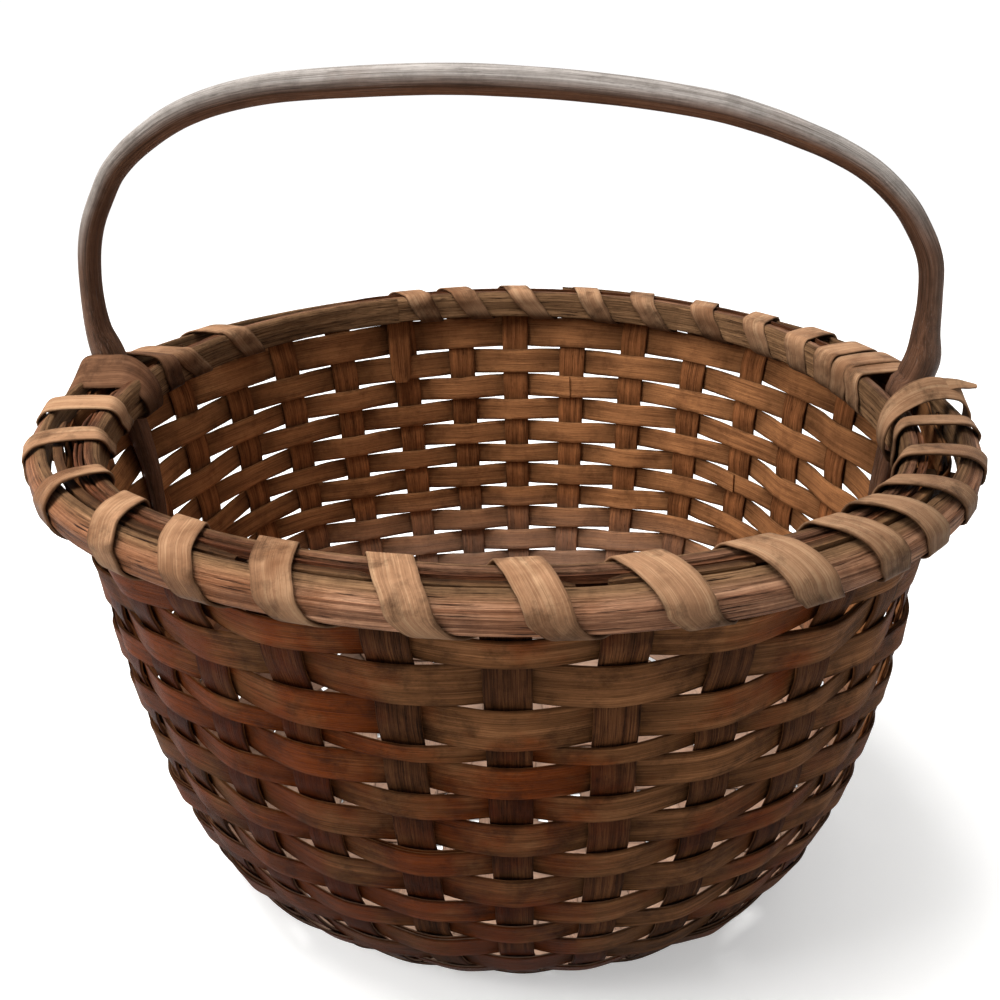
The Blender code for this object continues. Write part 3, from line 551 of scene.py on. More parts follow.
@dataclass(frozen=True)
class AgedWood:
    """Dry old wood with open grain, a handled patina, stains, and painted shade with grime in the weave's
    recesses.
    """

    name: str
    outside: str
    outside_light: str
    outside_dark: str
    patina: str
    inside: str
    inside_dark: str
    # Paler colour inside near the base: partly less weathered wood, partly painted light from above
    pale_and_lit_base: str = "b59c8a"
    grain: Grain = Grain.SPLINT
    patina_amount: float = 0.5
    streak_amount: float = 0.55
    stain_amount: float = 0.5
    crack_amount: float = 0.3
    hair_amount: float = 0.5
    # How dark painted shade makes the recesses (with grime), the outside near the base (with some dirt), the
    # wall behind the rim, the lashing low on the hoops and the right front; then how much painted light pales
    # the inside near the base
    recess_shade: float = 0.0
    low_shade: float = 0.0
    rim_shade: float = 0.0
    under_shade: float = 0.0
    corner_shade: float = 0.0
    pale_and_lit_base_amount: float = 0.0
    # How much more of it is rubbed at the left, and low down
    left_reach: float = 0.21
    low_reach: float = 0.09
    edge_grime: float = 0.55
    # How much of the handle's legs is rubbed, and the height in metres below which it is
    leg_patina: float = 0.0
    patina_below: float = 0.0
    # What rubbing takes off the roughness, and how deep a crack is against the height of the fibres
    polish: float = 0.15
    crack_depth: float = 1.2
    gloss: float = 0.07
    ior: float = 1.5
    roughness: float = 0.62
    inside_roughness: float = 0.8
    bump: float = 0.25 * MM
    bump_strength: float = 0.85

    def material(self) -> bpy.types.Material:
        """Build the finish as a node material.

        Returns:
            The material. It reads the attributes grain, skin and tone, and Object coordinates.
        """
        material = bpy.data.materials.new(self.name)
        material.use_nodes = True
        tree = material.node_tree
        made = self.patterns(tree)
        add_graph(tree, made, self.colour_rows() + self.dirt_rows() + self.shade_rows() + self.surface_rows())
        shader = tree.nodes["Principled BSDF"]
        for name, socket in (("shaded", "Base Color"), ("rough", "Roughness"), ("bumped", "Normal")):
            tree.links.new(made[name], shader.inputs[socket])
        shader.inputs["IOR"].default_value = self.ior
        shader.inputs["Specular IOR Level"].default_value = self.gloss
        return material

    def patterns(self, tree: bpy.types.NodeTree) -> dict[str, bpy.types.NodeSocket]:
        """Add the coordinates and the noises that everything else is worked out from.

        Args:
            tree: the material's tree.

        Returns:
            Their sockets by name.
        """
        made = {"place": add_node(tree, "ShaderNodeTexCoord").outputs["Object"]}
        for name, output in (("grain", "Vector"), ("skin", "Vector"), ("tone", "Fac")):
            made[name] = add_node(tree, "ShaderNodeAttribute", {"attribute_name": name}).outputs[output]
        for name, parts in (("skin", ("edge", "face", "crown")), ("place", ("x", "y", "z"))):
            made.update(zip(parts, add_node(tree, SEPARATE, links={0: made[name]}).outputs))
        width, length, pore_width, pore_length = (size * MM for size in self.grain.value)
        # Fibres, growth-ring bands, pores and hairs are drawn out along the stock. Rubbed patches, smears
        # and specks are not. Each has its length, width, detail, roughness and distortion.
        for name, over, long, wide, *kind in (("fibre", "grain", length, width, 6.0, 0.72, 0.0),
                                              ("band", "grain", length * 4, width * 6.25, 3.0, 0.55, 0.4),
                                              ("pore", "grain", pore_length, pore_width, 3.0, 0.6, 0.0),
                                              ("hair", "grain", 38 * MM, 0.3 * MM, 4.0, 0.72, 0.2),
                                              ("patch", "place", 48 * MM, 48 * MM, 4.0, 0.62, 0.0),
                                              ("smear", "place", 13 * MM, 13 * MM, 6.0, 0.68, 0.0),
                                              ("speck", "place", 2.6 * MM, 2.6 * MM, 3.0, 0.7, 0.0)):
            stretch = {"operation": "MULTIPLY", 1: (1 / long, 1 / wide, 1 / wide)}
            settings = {"Scale": 1.0} | dict(zip(("Detail", "Roughness", "Distortion"), kind))
            add_graph(tree, made, (("at", VECTOR_MATH, stretch, (over,)),
                                   (name, NOISE, settings, {"Vector": "at"})))
        return made

    def colour_rows(self) -> tuple:
        """List the nodes that mix the wood's own colours.

        Returns:
            Rows for add_graph that make wood, and the streak, side and rubbed that later rows read.
        """
        light, dark = RGBA | {MIX_B: linear(self.outside_light)}, RGBA | {MIX_B: linear(self.outside_dark)}
        inside_dark = RGBA | {MIX_B: linear(self.inside_dark)}
        return (
            # Fine fibres and broad bands make the streaks, pale on their crests and dark between
            ("fine", SPAN, (0.34, 0.66, 0.0, 0.6), ("fibre",)),
            ("broad", SPAN, (0.35, 0.65, 0.0, 0.4), ("band",)),
            ("streak", MATH, ADD, ("fine", "broad")),
            ("crest", SPAN, (0.45, 0.95), ("streak",)),
            ("clean", MIX, light | {MIX_A: linear(self.outside)}, ("crest",)),
            ("between", SPAN, (0.55, 0.05, 0.0, self.streak_amount), ("streak",)),
            ("bare", MIX, dark, {0: "between", MIX_A: "clean"}),
            # Hands have rubbed it in patches, more so to the left and low down, and on the handle's legs
            ("leftward", SPAN, (*HANDLED_X, 0.0, self.left_reach), ("x",)),
            ("downward", SPAN, (*HANDLED_Z, 0.0, self.low_reach), ("z",)),
            ("reach", MATH, ADD, ("leftward", "downward")),
            ("own_patch", MATH, TIMES_ADD | {1: 0.07}, {0: "tone", 2: "patch"}),
            ("handled", MATH, ADD, ("own_patch", "reach")),
            ("patches", SPAN, (0.53, 0.68, 0.0, self.patina_amount), ("handled",)),
            ("leg_top", MATH, TIMES_ADD | {1: 0.03}, {0: "patch", 2: "z"}),
            ("leg", SPAN, (self.patina_below + 0.03, self.patina_below, 0.0, self.leg_patina), ("leg_top",)),
            ("rubbed", MATH, GREATEST, ("patches", "leg")),
            ("patina_streak", SPAN, (0.9, 0.0, 0.0, 0.75), ("streak",)),
            ("patina", MIX, dark | {MIX_A: linear(self.patina)}, ("patina_streak",)),
            ("worn", MIX, RGBA, {0: "rubbed", MIX_A: "bare", MIX_B: "patina"}),
            ("stain", SPAN, (0.50, 0.72, 0.0, self.stain_amount), ("smear",)),
            ("outside", MIX, dark, {0: "stain", MIX_A: "worn"}),
            # Inside it is only streaked and stained, and paler towards the base: partly less weathered wood,
            # partly painted light from above
            ("inner_streak", SPAN, (0.85, 0.1, 0.0, min(0.9, self.streak_amount * 1.6)), ("streak",)),
            ("inner_bare", MIX, inside_dark | {MIX_A: linear(self.inside)}, ("inner_streak",)),
            ("inner_stain", SPAN, (0.50, 0.72, 0.0, self.stain_amount * 0.6), ("smear",)),
            ("inner_stained", MIX, inside_dark, {0: "inner_stain", MIX_A: "inner_bare"}),
            ("pale_and_lit_below", SPAN, (*PALE_AND_LIT_BASE_Z, 0.0, self.pale_and_lit_base_amount), ("z",)),
            ("inside", MIX, RGBA | {MIX_B: linear(self.pale_and_lit_base)}, {0: "pale_and_lit_below", MIX_A: "inner_stained"}),
            ("side", SPAN, (-0.4, 0.4), ("face",)),
            ("wood", MIX, RGBA, {0: "side", MIX_A: "inside", MIX_B: "outside"}))

    def dirt_rows(self) -> tuple:
        """List the nodes that lay grime, hairs and cracks over the wood.

        Returns:
            Rows for add_graph that make colour, and the cracks that the bump reads.
        """
        light, dark = RGBA | {MIX_B: linear(self.outside_light)}, RGBA | {MIX_B: linear(self.outside_dark)}
        return (
            ("off_middle", MATH, {"operation": "ABSOLUTE"}, ("edge",)),
            ("ragged", MATH, TIMES_ADD | {1: 0.30}, {0: "smear", 2: "off_middle"}),
            ("grime", SPAN, (0.98, 1.22, 0.0, self.edge_grime), ("ragged",)),
            ("grimed", MIX, dark, {0: "grime", MIX_A: "wood"}),
            ("pale_hair", SPAN, (0.42, 0.30, 0.0, self.hair_amount * 0.5), ("hair",)),
            ("pale_haired", MIX, light, {0: "pale_hair", MIX_A: "grimed"}),
            ("dark_hair", SPAN, (0.56, 0.70, 0.0, self.hair_amount), ("hair",)),
            ("haired", MIX, dark, {0: "dark_hair", MIX_A: "pale_haired"}),
            ("cracks", SPAN, (0.60, 0.70, 0.0, self.crack_amount), ("pore",)),
            ("colour", MIX, dark, {0: "cracks", MIX_A: "haired"}))

    def shade_rows(self) -> tuple:
        """List the nodes that make some splints and smears darker than others, and the nodes that paint
        shade.

        Returns:
            Rows for add_graph that make shaded.
        """
        buried = 1.0 - self.recess_shade
        return (
            ("own", SPAN, (-1.0, 1.0, 0.84, 1.16), ("tone",)),
            ("smeared", SPAN, (0.3, 0.7, 0.09, -0.09), ("smear",)),
            ("specked", SPAN, (0.3, 0.7, -0.07, 0.07), ("speck",)),
            ("uneven", MATH, ADD, ("own", "smeared")),
            ("value", MATH, ADD, ("uneven", "specked")),
            # Painted shade, with some grime, in the recesses: outside where a splint passes inside its
            # neighbour, and the other way about
            ("inner_recess", SPAN, (1.0, -0.8, buried, 1.0), ("crown",)),
            ("outer_recess", SPAN, (-1.0, 0.8, buried, 1.0), ("crown",)),
            ("recess", MIX, {}, {0: "side", NUMBER_A: "inner_recess", NUMBER_B: "outer_recess"}),
            # Painted shade also on the outside near the base, where there is some dirt too, on the wall
            # behind the rim, on the lashing low on the hoops, and on the rim at the right front
            ("foot", SPAN, (*FOOT_Z, 0.0, self.low_shade), ("z",)),
            ("outer_foot", MATH, TIMES, ("foot", "side")),
            ("above_foot", MATH, TAKE | {0: 1.0}, {1: "outer_foot"}),
            ("below_rim", SPAN, (*RIM_Z, 1.0, 1.0 - self.rim_shade), ("z",)),
            ("on_hoop", SPAN, (*UNDER_HOOP_Z, 1.0, 1.0 - self.under_shade), ("z",)),
            ("rightward", SPAN, (*CORNER_X, 0.0, self.corner_shade), ("x",)),
            ("frontward", SPAN, CORNER_Y, ("y",)),
            ("corner", MATH, TIMES, ("rightward", "frontward")),
            ("off_corner", MATH, TAKE | {0: 1.0}, {1: "corner"}),
            *(("value", MATH, TIMES, ("value", name))
              for name in ("recess", "above_foot", "below_rim", "on_hoop", "off_corner")),
            ("shaded", "ShaderNodeHueSaturation", {}, {"Value": "value", "Color": "colour"}))

    def surface_rows(self) -> tuple:
        """List the nodes for roughness and bump.

        Returns:
            Rows for add_graph that make rough and bumped.
        """
        return (
            ("dry", SPAN, (0.0, 1.0, self.inside_roughness, self.roughness), ("side",)),
            ("rough", MATH, TIMES_ADD | {1: -self.polish}, {0: "rubbed", 2: "dry"}),
            ("raised_hair", SPAN, (0.5, 0.7, 0.0, 0.5), ("hair",)),
            ("fibres", MATH, TAKE, ("streak", "raised_hair")),
            ("height", MATH, TIMES_ADD | {1: -self.crack_depth}, {0: "cracks", 2: "fibres"}),
            ("bumped", "ShaderNodeBump", {"Strength": self.bump_strength, "Distance": self.bump},
             {"Height": "height"}))


# Ash splint, split and scraped: long straight grain, darkened by a century of handling. Outside the
# weavers are grey-brown and stained, with rubbed red-brown patches; inside they are warmer and rougher.
# They get painted shade in the recesses, behind the rim and near the base, and painted light inside near the
# base.
WEAVER_SPLINT = AgedWood(
    "ash_splint_hand_split_weaver", outside="573820", outside_light="765033", outside_dark="1c0f07",
    patina="602806", inside="ae774c", inside_dark="4a2a1a", patina_amount=0.92, streak_amount=0.45,
    stain_amount=0.75, hair_amount=0.6, recess_shade=0.5, low_shade=0.6, rim_shade=0.55, pale_and_lit_base_amount=0.7,
    gloss=0.01)
# The stakes are thicker oak splint, darker outside, with black streaks of strong open grain, and the same
# painted shade and painted light as the weavers
STAKE_SPLINT = AgedWood(
    "oak_splint_hand_split_stake", outside="3c2313", outside_light="54351f", outside_dark="0d0603",
    patina="401604", inside="a3683f", inside_dark="3f2415", patina_amount=0.9, streak_amount=0.85,
    crack_amount=0.7, hair_amount=0.7, recess_shade=0.35, low_shade=0.45, rim_shade=0.6, pale_and_lit_base_amount=0.6,
    gloss=0.01)
# Hoops are split and shaved oak: coarse streaks, cracks along the grain, handled to a light tan, with painted
# shade at the right front
HOOP_WOOD = AgedWood(
    "oak_split_and_shaved_hoop", outside="835a42", outside_light="c09272", outside_dark="2b1810",
    patina="7a4725", inside="94704f", inside_dark="3a2414", grain=Grain.SPLIT_BAR, patina_amount=0.6,
    streak_amount=0.92, stain_amount=0.4, crack_amount=1.0, corner_shade=0.2, gloss=0.04, roughness=0.6,
    bump=0.8 * MM)
# The handle is carved hickory: weathered grey along the grip, handled brown at its legs.
# Its darker inside colours go on the underside of the bow and the inner side of its legs: painted shade.
HANDLE_WOOD = AgedWood(
    "hickory_carved_and_worn_handle", outside="87807a", outside_light="a29b95", outside_dark="382e27",
    patina="66432e", inside="6e4c38", inside_dark="2a1c14", grain=Grain.CARVED_BAR, patina_amount=0.3,
    streak_amount=0.6, stain_amount=0.3, crack_amount=0.55, left_reach=0.0, edge_grime=0.2,
    leg_patina=0.9, patina_below=0.305, gloss=0.05, roughness=0.55)
# The lashing is a thin flat splint, smoother, drier and paler than the wall, with painted shade low on the
# hoops and at the right front
LASHING_SPLINT = AgedWood(
    "ash_splint_scraped_lashing", outside="8f6a4e", outside_light="a98868", outside_dark="3a2618",
    patina="6c452b", inside="6a4930", inside_dark="2e1c0d", patina_amount=0.8, streak_amount=0.24,
    stain_amount=0.85, crack_amount=0.12, hair_amount=0.35, under_shade=0.6, corner_shade=0.3,
    left_reach=0.05, gloss=0.03, bump=0.15 * MM)
# The straps at the feet are the same splint, with its painted shade, darkened by hands
HANDLED_STRAP = replace(
    LASHING_SPLINT, name="ash_splint_strap_darkened_by_hands", outside="664631", outside_light="7d5a42",
    outside_dark="2a190f", patina="5c3b28")
# The fillers are reddish split strips, open-grained and broken at the ends
FILLER_SPLINT = AgedWood(
    "oak_splint_rough_filler", outside="7a4a30", outside_light="9a6c4c", outside_dark="22120a",
    patina="783c20", inside="63391f", inside_dark="241208", streak_amount=0.85, crack_amount=0.7,
    bump=0.5 * MM)
# Short filler bars lie between the outer hoop and the wall, brown and coarse
BAR_FILLER = AgedWood(
    "oak_split_filler_bar", outside="6b4a30", outside_light="8c6a48", outside_dark="211207",
    patina="603c22", inside="543620", inside_dark="1f1006", grain=Grain.SPLIT_BAR, streak_amount=0.8,
    crack_amount=0.8, bump=0.5 * MM)


# Sweeping a section along a path

# One size for a whole path, or one for each of its control points
Sizes = float | tuple | list | np.ndarray


@dataclass
class SweptPath:
    """A path with the frame and the size of the section at each of its points."""

    places: np.ndarray
    across: np.ndarray
    face: np.ndarray
    half_width: np.ndarray
    half_thick: np.ndarray
    crown: np.ndarray

    @classmethod
    def through(cls, places: list | np.ndarray, face: list | np.ndarray, width: Sizes, thick: Sizes,
                step: float, crown: Sizes = 0.0, across: Sizes | None = None) -> "SweptPath":
        """Draw a smooth path through control points.

        Args:
            places: control points in the drawing frame.
            face: the way the outer face points at each.
            width: full widths, or one for all.
            thick: full thicknesses, or one for all.
            step: spacing of the result.
            crown: how far the splint stands out of the weave, from -1 to 1.
            across: the way the width runs; square to the path and the face if left out.

        Returns:
            The path, evenly spaced.
        """
        count = len(places)
        columns = [np.array(places), np.array(face)]
        columns += [np.broadcast_to(values, count)[:, None] for values in (width, thick, crown)]
        if across is not None:
            columns.append(np.broadcast_to(across, (count, 3)))
        rows = smooth_rows(np.hstack(columns), step)
        tangent = unit(np.gradient(rows[:, :3], axis=0))
        if across is None:
            side = unit(np.cross(tangent, rows[:, 3:6]))
        else:
            side = unit(rows[:, 9:12])
        outward = unit(np.cross(side, tangent))
        return cls(rows[:, :3], side, outward, rows[:, 6] / 2, rows[:, 7] / 2, rows[:, 8])

    def line(self, name: str) -> bpy.types.Object:
        """Draw the path as a mesh line that carries its frame and sizes as attributes.

        Args:
            name: the object's name.

        Returns:
            The line.
        """
        count = len(self.places)
        mesh = bpy.data.meshes.new(name)
        points = (self.places + DRAWING_ORIGIN).tolist()
        mesh.from_pydata(points, [(i, i + 1) for i in range(count - 1)], [])
        gaps = np.linalg.norm(np.diff(self.places, axis=0), axis=1)
        along = np.concatenate(([0.0], np.cumsum(gaps)))
        for key, values in (("across", self.across), ("face", self.face)):
            mesh.attributes.new(key, "FLOAT_VECTOR", "POINT").data.foreach_set(
                "vector", np.ascontiguousarray(values, np.float32).ravel())
        for key, values in (("half_width", self.half_width), ("half_thick", self.half_thick),
                            ("crown", self.crown), ("along", along)):
            mesh.attributes.new(key, "FLOAT", "POINT").data.foreach_set(
                "value", np.ascontiguousarray(values, np.float32))
        line = bpy.data.objects.new(name, mesh)
        bpy.context.scene.collection.objects.link(line)
        return line


def section_outline(corners: list[tuple[float, float]], name: str) -> bpy.types.Object:
    """Draw a closed outline in x and y, from -1 to 1, as a mesh loop.

    Args:
        corners: the outline's points; x runs across the stock and y out of its face.
        name: the object's name.

    Returns:
        An object that the sweep tree reads.
    """
    mesh = bpy.data.meshes.new(name)
    count = len(corners)
    mesh.from_pydata([(x, y, 0.0) for x, y in corners], [(i, (i + 1) % count) for i in range(count)], [])
    outline = bpy.data.objects.new(name, mesh)
    bpy.context.scene.collection.objects.link(outline)
    return outline


def rounded(corners: tuple, radius: float, size: tuple[float, float],
            spacing: float = 0.9 * MM) -> list[tuple[float, float]]:
    """Round the corners of a section and fill its sides with points.

    Args:
        corners: corners in shares of the half sizes, counter-clockwise.
        radius: corner radius in metres.
        size: full width and thickness in metres.
        spacing: distance between points on the flats, in metres.

    Returns:
        Points in shares of the half sizes.
    """
    half = np.array(size) / 2
    real = np.array(corners) * half
    most = 0.45  # of a side, so that the arcs at its two ends stay apart
    arcs = []
    for before, here, after in zip(np.roll(real, 1, axis=0), real, np.roll(real, -1, axis=0)):
        reach = min(radius, most * np.linalg.norm(before - here), most * np.linalg.norm(after - here))
        start, end = here + unit(before - here) * reach, here + unit(after - here) * reach
        arcs.append([(1 - t) ** 2 * start + 2 * t * (1 - t) * here + t * t * end for t in (0.0, 0.5, 1.0)])
    points: list[np.ndarray] = []
    for arc, following in zip(arcs, arcs[1:] + arcs[:1]):
        flat = following[0] - arc[-1]
        steps = int(np.linalg.norm(flat) / spacing)
        points += arc + [arc[-1] + flat * k / (steps + 1) for k in range(1, steps + 1)]
    return [tuple(point / half) for point in points]


class SweepTree:
    """The Geometry Nodes tree that gives every path its body."""

    SIZES = (("Edge Wander", 0.4 * MM), ("Edge Notch", 0.12 * MM), ("Face Wave", 0.2 * MM),
             ("Relief", 0.0), ("Relief Width", 3.0 * MM), ("Relief Length", 60.0 * MM), ("Tone", 0.0),
             ("Seed", 0.0))
    FLOATS = ("along", "half_width", "half_thick", "crown")
    VECTORS = ("section", "spine", "across", "face")
    SHARP_ANGLE = radians(55.0)

    def __init__(self) -> None:
        """Build the tree once."""
        tree = bpy.data.node_groups.new("splint_along_a_path", "GeometryNodeTree")
        self.tree = tree
        self.ids = {}
        for name, kind in (("Geometry", "Geometry"), ("Section", "Object"), ("Material", "Material"),
                           *((name, "Float") for name, _ in self.SIZES)):
            socket = tree.interface.new_socket(name, in_out="INPUT", socket_type="NodeSocket" + kind)
            self.ids[name] = socket.identifier
            if kind == "Float":
                socket.default_value = dict(self.SIZES)[name]
        tree.interface.new_socket("Geometry", in_out="OUTPUT", socket_type="NodeSocketGeometry")
        self._wire()

    def _wire(self) -> None:
        """Add the nodes that sweep, roughen and tag the body."""
        tree = self.tree
        source = add_node(tree, "NodeGroupInput").outputs
        made = {name.lower().replace(" ", "_"): source[name] for name in self.ids}
        made["outline"] = add_node(tree, "GeometryNodeObjectInfo", {"transform_space": "ORIGINAL"},
                                   {"Object": made["section"]}).outputs["Geometry"]
        add_graph(tree, made, [(name, ATTRIBUTE, {"data_type": kind, "Name": name}, ())
                               for kind, names in (("FLOAT", self.FLOATS), ("FLOAT_VECTOR", self.VECTORS))
                               for name in names])
        made.update(zip(("x", "y"), add_node(tree, SEPARATE, links={0: made["section"]}).outputs))
        vector = {"data_type": "FLOAT_VECTOR"}
        add_graph(tree, made, (
            ("position", "GeometryNodeInputPosition", {}, ()),
            ("path", "GeometryNodeMeshToCurve", {}, ("geometry",)),
            ("path", STORE, vector | {"Name": "spine"}, {"Geometry": "path", "Value": "position"}),
            ("profile", "GeometryNodeMeshToCurve", {}, ("outline",)),
            ("profile", STORE, vector | {"Name": "section"}, {"Geometry": "profile", "Value": "position"}),
            ("body", "GeometryNodeCurveToMesh", {"Fill Caps": True},
             {"Curve": "path", "Profile Curve": "profile"}),
            # Each piece's seed moves it to its own stretch of grain
            ("own", MATH, TIMES | {1: 7.31}, ("seed",)),
            ("start", MATH, TIMES_ADD | {1: 0.873}, {0: "seed", 2: "along"}),
            ("side", MATH, TIMES, ("x", "half_width")),
            ("depth", MATH, TIMES, ("y", "half_thick")),
            ("grain", COMBINE, {}, ("start", "side", "depth")),
            ("skin", COMBINE, {}, ("x", "y", "crown")),
            # The edges wander over about 35 mm and are notched over about 4 mm; the face waves over 50 mm
            ("edge_long", MATH, OVER | {1: 35 * MM}, ("along",)),
            ("notch_long", MATH, OVER | {1: 4 * MM}, ("along",)),
            ("edge_side", MATH, TIMES | {1: 1.9}, ("x",)),
            ("wave_long", MATH, OVER | {1: 50 * MM}, ("along",)),
            ("wave_side", MATH, TIMES | {1: 0.8}, ("x",)),
            ("wave_own", MATH, ADD | {1: 3.7}, ("own",)),
            ("ridge_long", MATH, OVER, ("along", "relief_length")),
            ("ridge_side", MATH, OVER, ("side", "relief_width")),
            ("ridge_depth", MATH, OVER, ("depth", "relief_width")),
            ("ridge_own", MATH, ADD, ("ridge_depth", "own"))))
        for name, size, detail, at in (
                ("wander", "edge_wander", 2.0, ("edge_long", "edge_side", "own")),
                ("notch", "edge_notch", 3.0, ("notch_long", "edge_side", "own")),
                ("wave", "face_wave", 2.0, ("wave_long", "wave_side", "wave_own")),
                ("ridge", "relief", 3.0, ("ridge_long", "ridge_side", "ridge_own"))):
            add_graph(tree, made, (("at", COMBINE, {}, at),
                                   ("noise", NOISE, {"Scale": 1.0, "Detail": detail}, {"Vector": "at"}),
                                   ("swing", MATH, TIMES_ADD | {1: 2.0, 2: -1.0}, ("noise",)),
                                   (name, MATH, TIMES, ("swing", size))))
        add_graph(tree, made, (
            ("edge", MATH, ADD, ("wander", "notch")),
            ("edge", MATH, ADD, ("edge", "ridge")),
            ("out_side", MATH, TIMES_ADD, ("edge", "x", "side")),
            ("ridge_face", MATH, TIMES_ADD, ("ridge", "y", "depth")),
            ("out_face", MATH, ADD, ("ridge_face", "wave")),
            ("sideways", VECTOR_MATH, {"operation": "SCALE"}, {0: "across", "Scale": "out_side"}),
            ("outwards", VECTOR_MATH, {"operation": "SCALE"}, {0: "face", "Scale": "out_face"}),
            ("place", VECTOR_MATH, ADD, ("spine", "sideways")),
            ("place", VECTOR_MATH, ADD, ("place", "outwards")),
            ("body", "GeometryNodeSetPosition", {}, {"Geometry": "body", "Position": "place"}),
            *(("body", STORE, {"data_type": kind, "Name": name}, {"Geometry": "body", "Value": name})
              for name, kind in (("grain", "FLOAT_VECTOR"), ("skin", "FLOAT_VECTOR"), ("tone", "FLOAT"))),
            ("body", "GeometryNodeRealizeInstances", {}, ("body",)),
            ("body", "GeometryNodeSetMaterial", {}, {"Geometry": "body", "Material": "material"})))
        add_node(tree, "NodeGroupOutput", links={"Geometry": made["body"]})

    def sweep(self, name: str, path: SweptPath, section: bpy.types.Object, material: bpy.types.Material,
              **sizes: float) -> bpy.types.Object:
        """Give one path its body as a plain mesh.

        Args:
            name: the finished piece's name.
            path: the path to follow.
            section: the outline that is swept.
            material: the piece's finish.
            sizes: named inputs of the tree, with _ for a space.

        Returns:
            The finished piece, at the origin.
        """
        line = path.line(name + "_path")
        modifier = line.modifiers.new("sweep", "NODES")
        modifier.node_group = self.tree
        modifier[self.ids["Section"]] = section
        modifier[self.ids["Material"]] = material
        for key, value in sizes.items():
            modifier[self.ids[key.replace("_", " ")]] = float(value)
        graph = bpy.context.evaluated_depsgraph_get()
        mesh = bpy.data.meshes.new_from_object(line.evaluated_get(graph))
        line.modifiers.remove(modifier)
        bpy.data.objects.remove(line, do_unlink=True)
        for key in self.FLOATS + self.VECTORS:
            spare = mesh.attributes.get(key)
            if spare:
                mesh.attributes.remove(spare)
        mesh.name = name
        mesh.update()
        mesh.shade_smooth()
        mesh.set_sharp_from_angle(angle=self.SHARP_ANGLE)
        piece = bpy.data.objects.new(name, mesh)
        bpy.context.scene.collection.objects.link(piece)
        return piece


class Slot(Enum):
    """The record's material slots."""

    STAKE = "stake_splint"
    WEAVER = "weaver_splint"
    HOOP = "hoop"
    FILLER = "filler"
    HANDLE = "handle"
    LASHING = "lashing"


class Workshop:
    """What every sub-assembly is made with: the form, the sweep tree, sections and finishes."""

    STEP = 2.4 * MM

    def __init__(self) -> None:
        """Prepare the shared tree, outlines and materials."""
        self.form = BasketForm()
        self.stakes = [StakeLine(self.form, index) for index in range(self.form.stake_count)]
        self.tree = SweepTree()
        # A flat section with its edges eased
        upper = [(x, 1.0) for x in (0.965, 0.66, 0.33, 0.0, -0.33, -0.66, -0.965)]
        lower = [(-x, -1.0) for x, _ in upper]
        self.flat = section_outline([(1.0, 0.45), *upper, (-1.0, 0.45), (-1.0, -0.45), *lower, (1.0, -0.45)],
                                    "flat_splint_outline")
        self.materials = {finish.name: finish.material() for finish in
                          (WEAVER_SPLINT, STAKE_SPLINT, HOOP_WOOD, HANDLE_WOOD, LASHING_SPLINT, FILLER_SPLINT,
                           BAR_FILLER, HANDLED_STRAP)}

    def make(self, name: str, path: SweptPath, finish: AgedWood, slot: Slot, nodes: tuple[str, ...] = (),
             section: bpy.types.Object | None = None, **sizes: float) -> None:
        """Sweep a piece, put it on the basket's one body and hide the CAD nodes that it stands for.

        Args:
            name: the piece's name.
            path: the path to follow.
            finish: the piece's finish.
            slot: the record's slot for it; not used.
            nodes: the CAD nodes that it replaces.
            section: its outline; a flat splint's if left out.
            sizes: named inputs of the sweep tree, with _ for a space.
        """
        piece = self.tree.sweep(name, path, section or self.flat, self.materials[finish.name], **sizes)
        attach(piece, "root")
        if nodes:
            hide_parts(*nodes)
        log.info("%s: %d faces", name, len(piece.data.polygons))

    def discard_outlines(self) -> None:
        """Remove the outlines once every piece is a plain mesh."""
        for thing in [o for o in bpy.data.objects if o.name.endswith("_outline")]:
            bpy.data.objects.remove(thing, do_unlink=True)


# Sub-assemblies

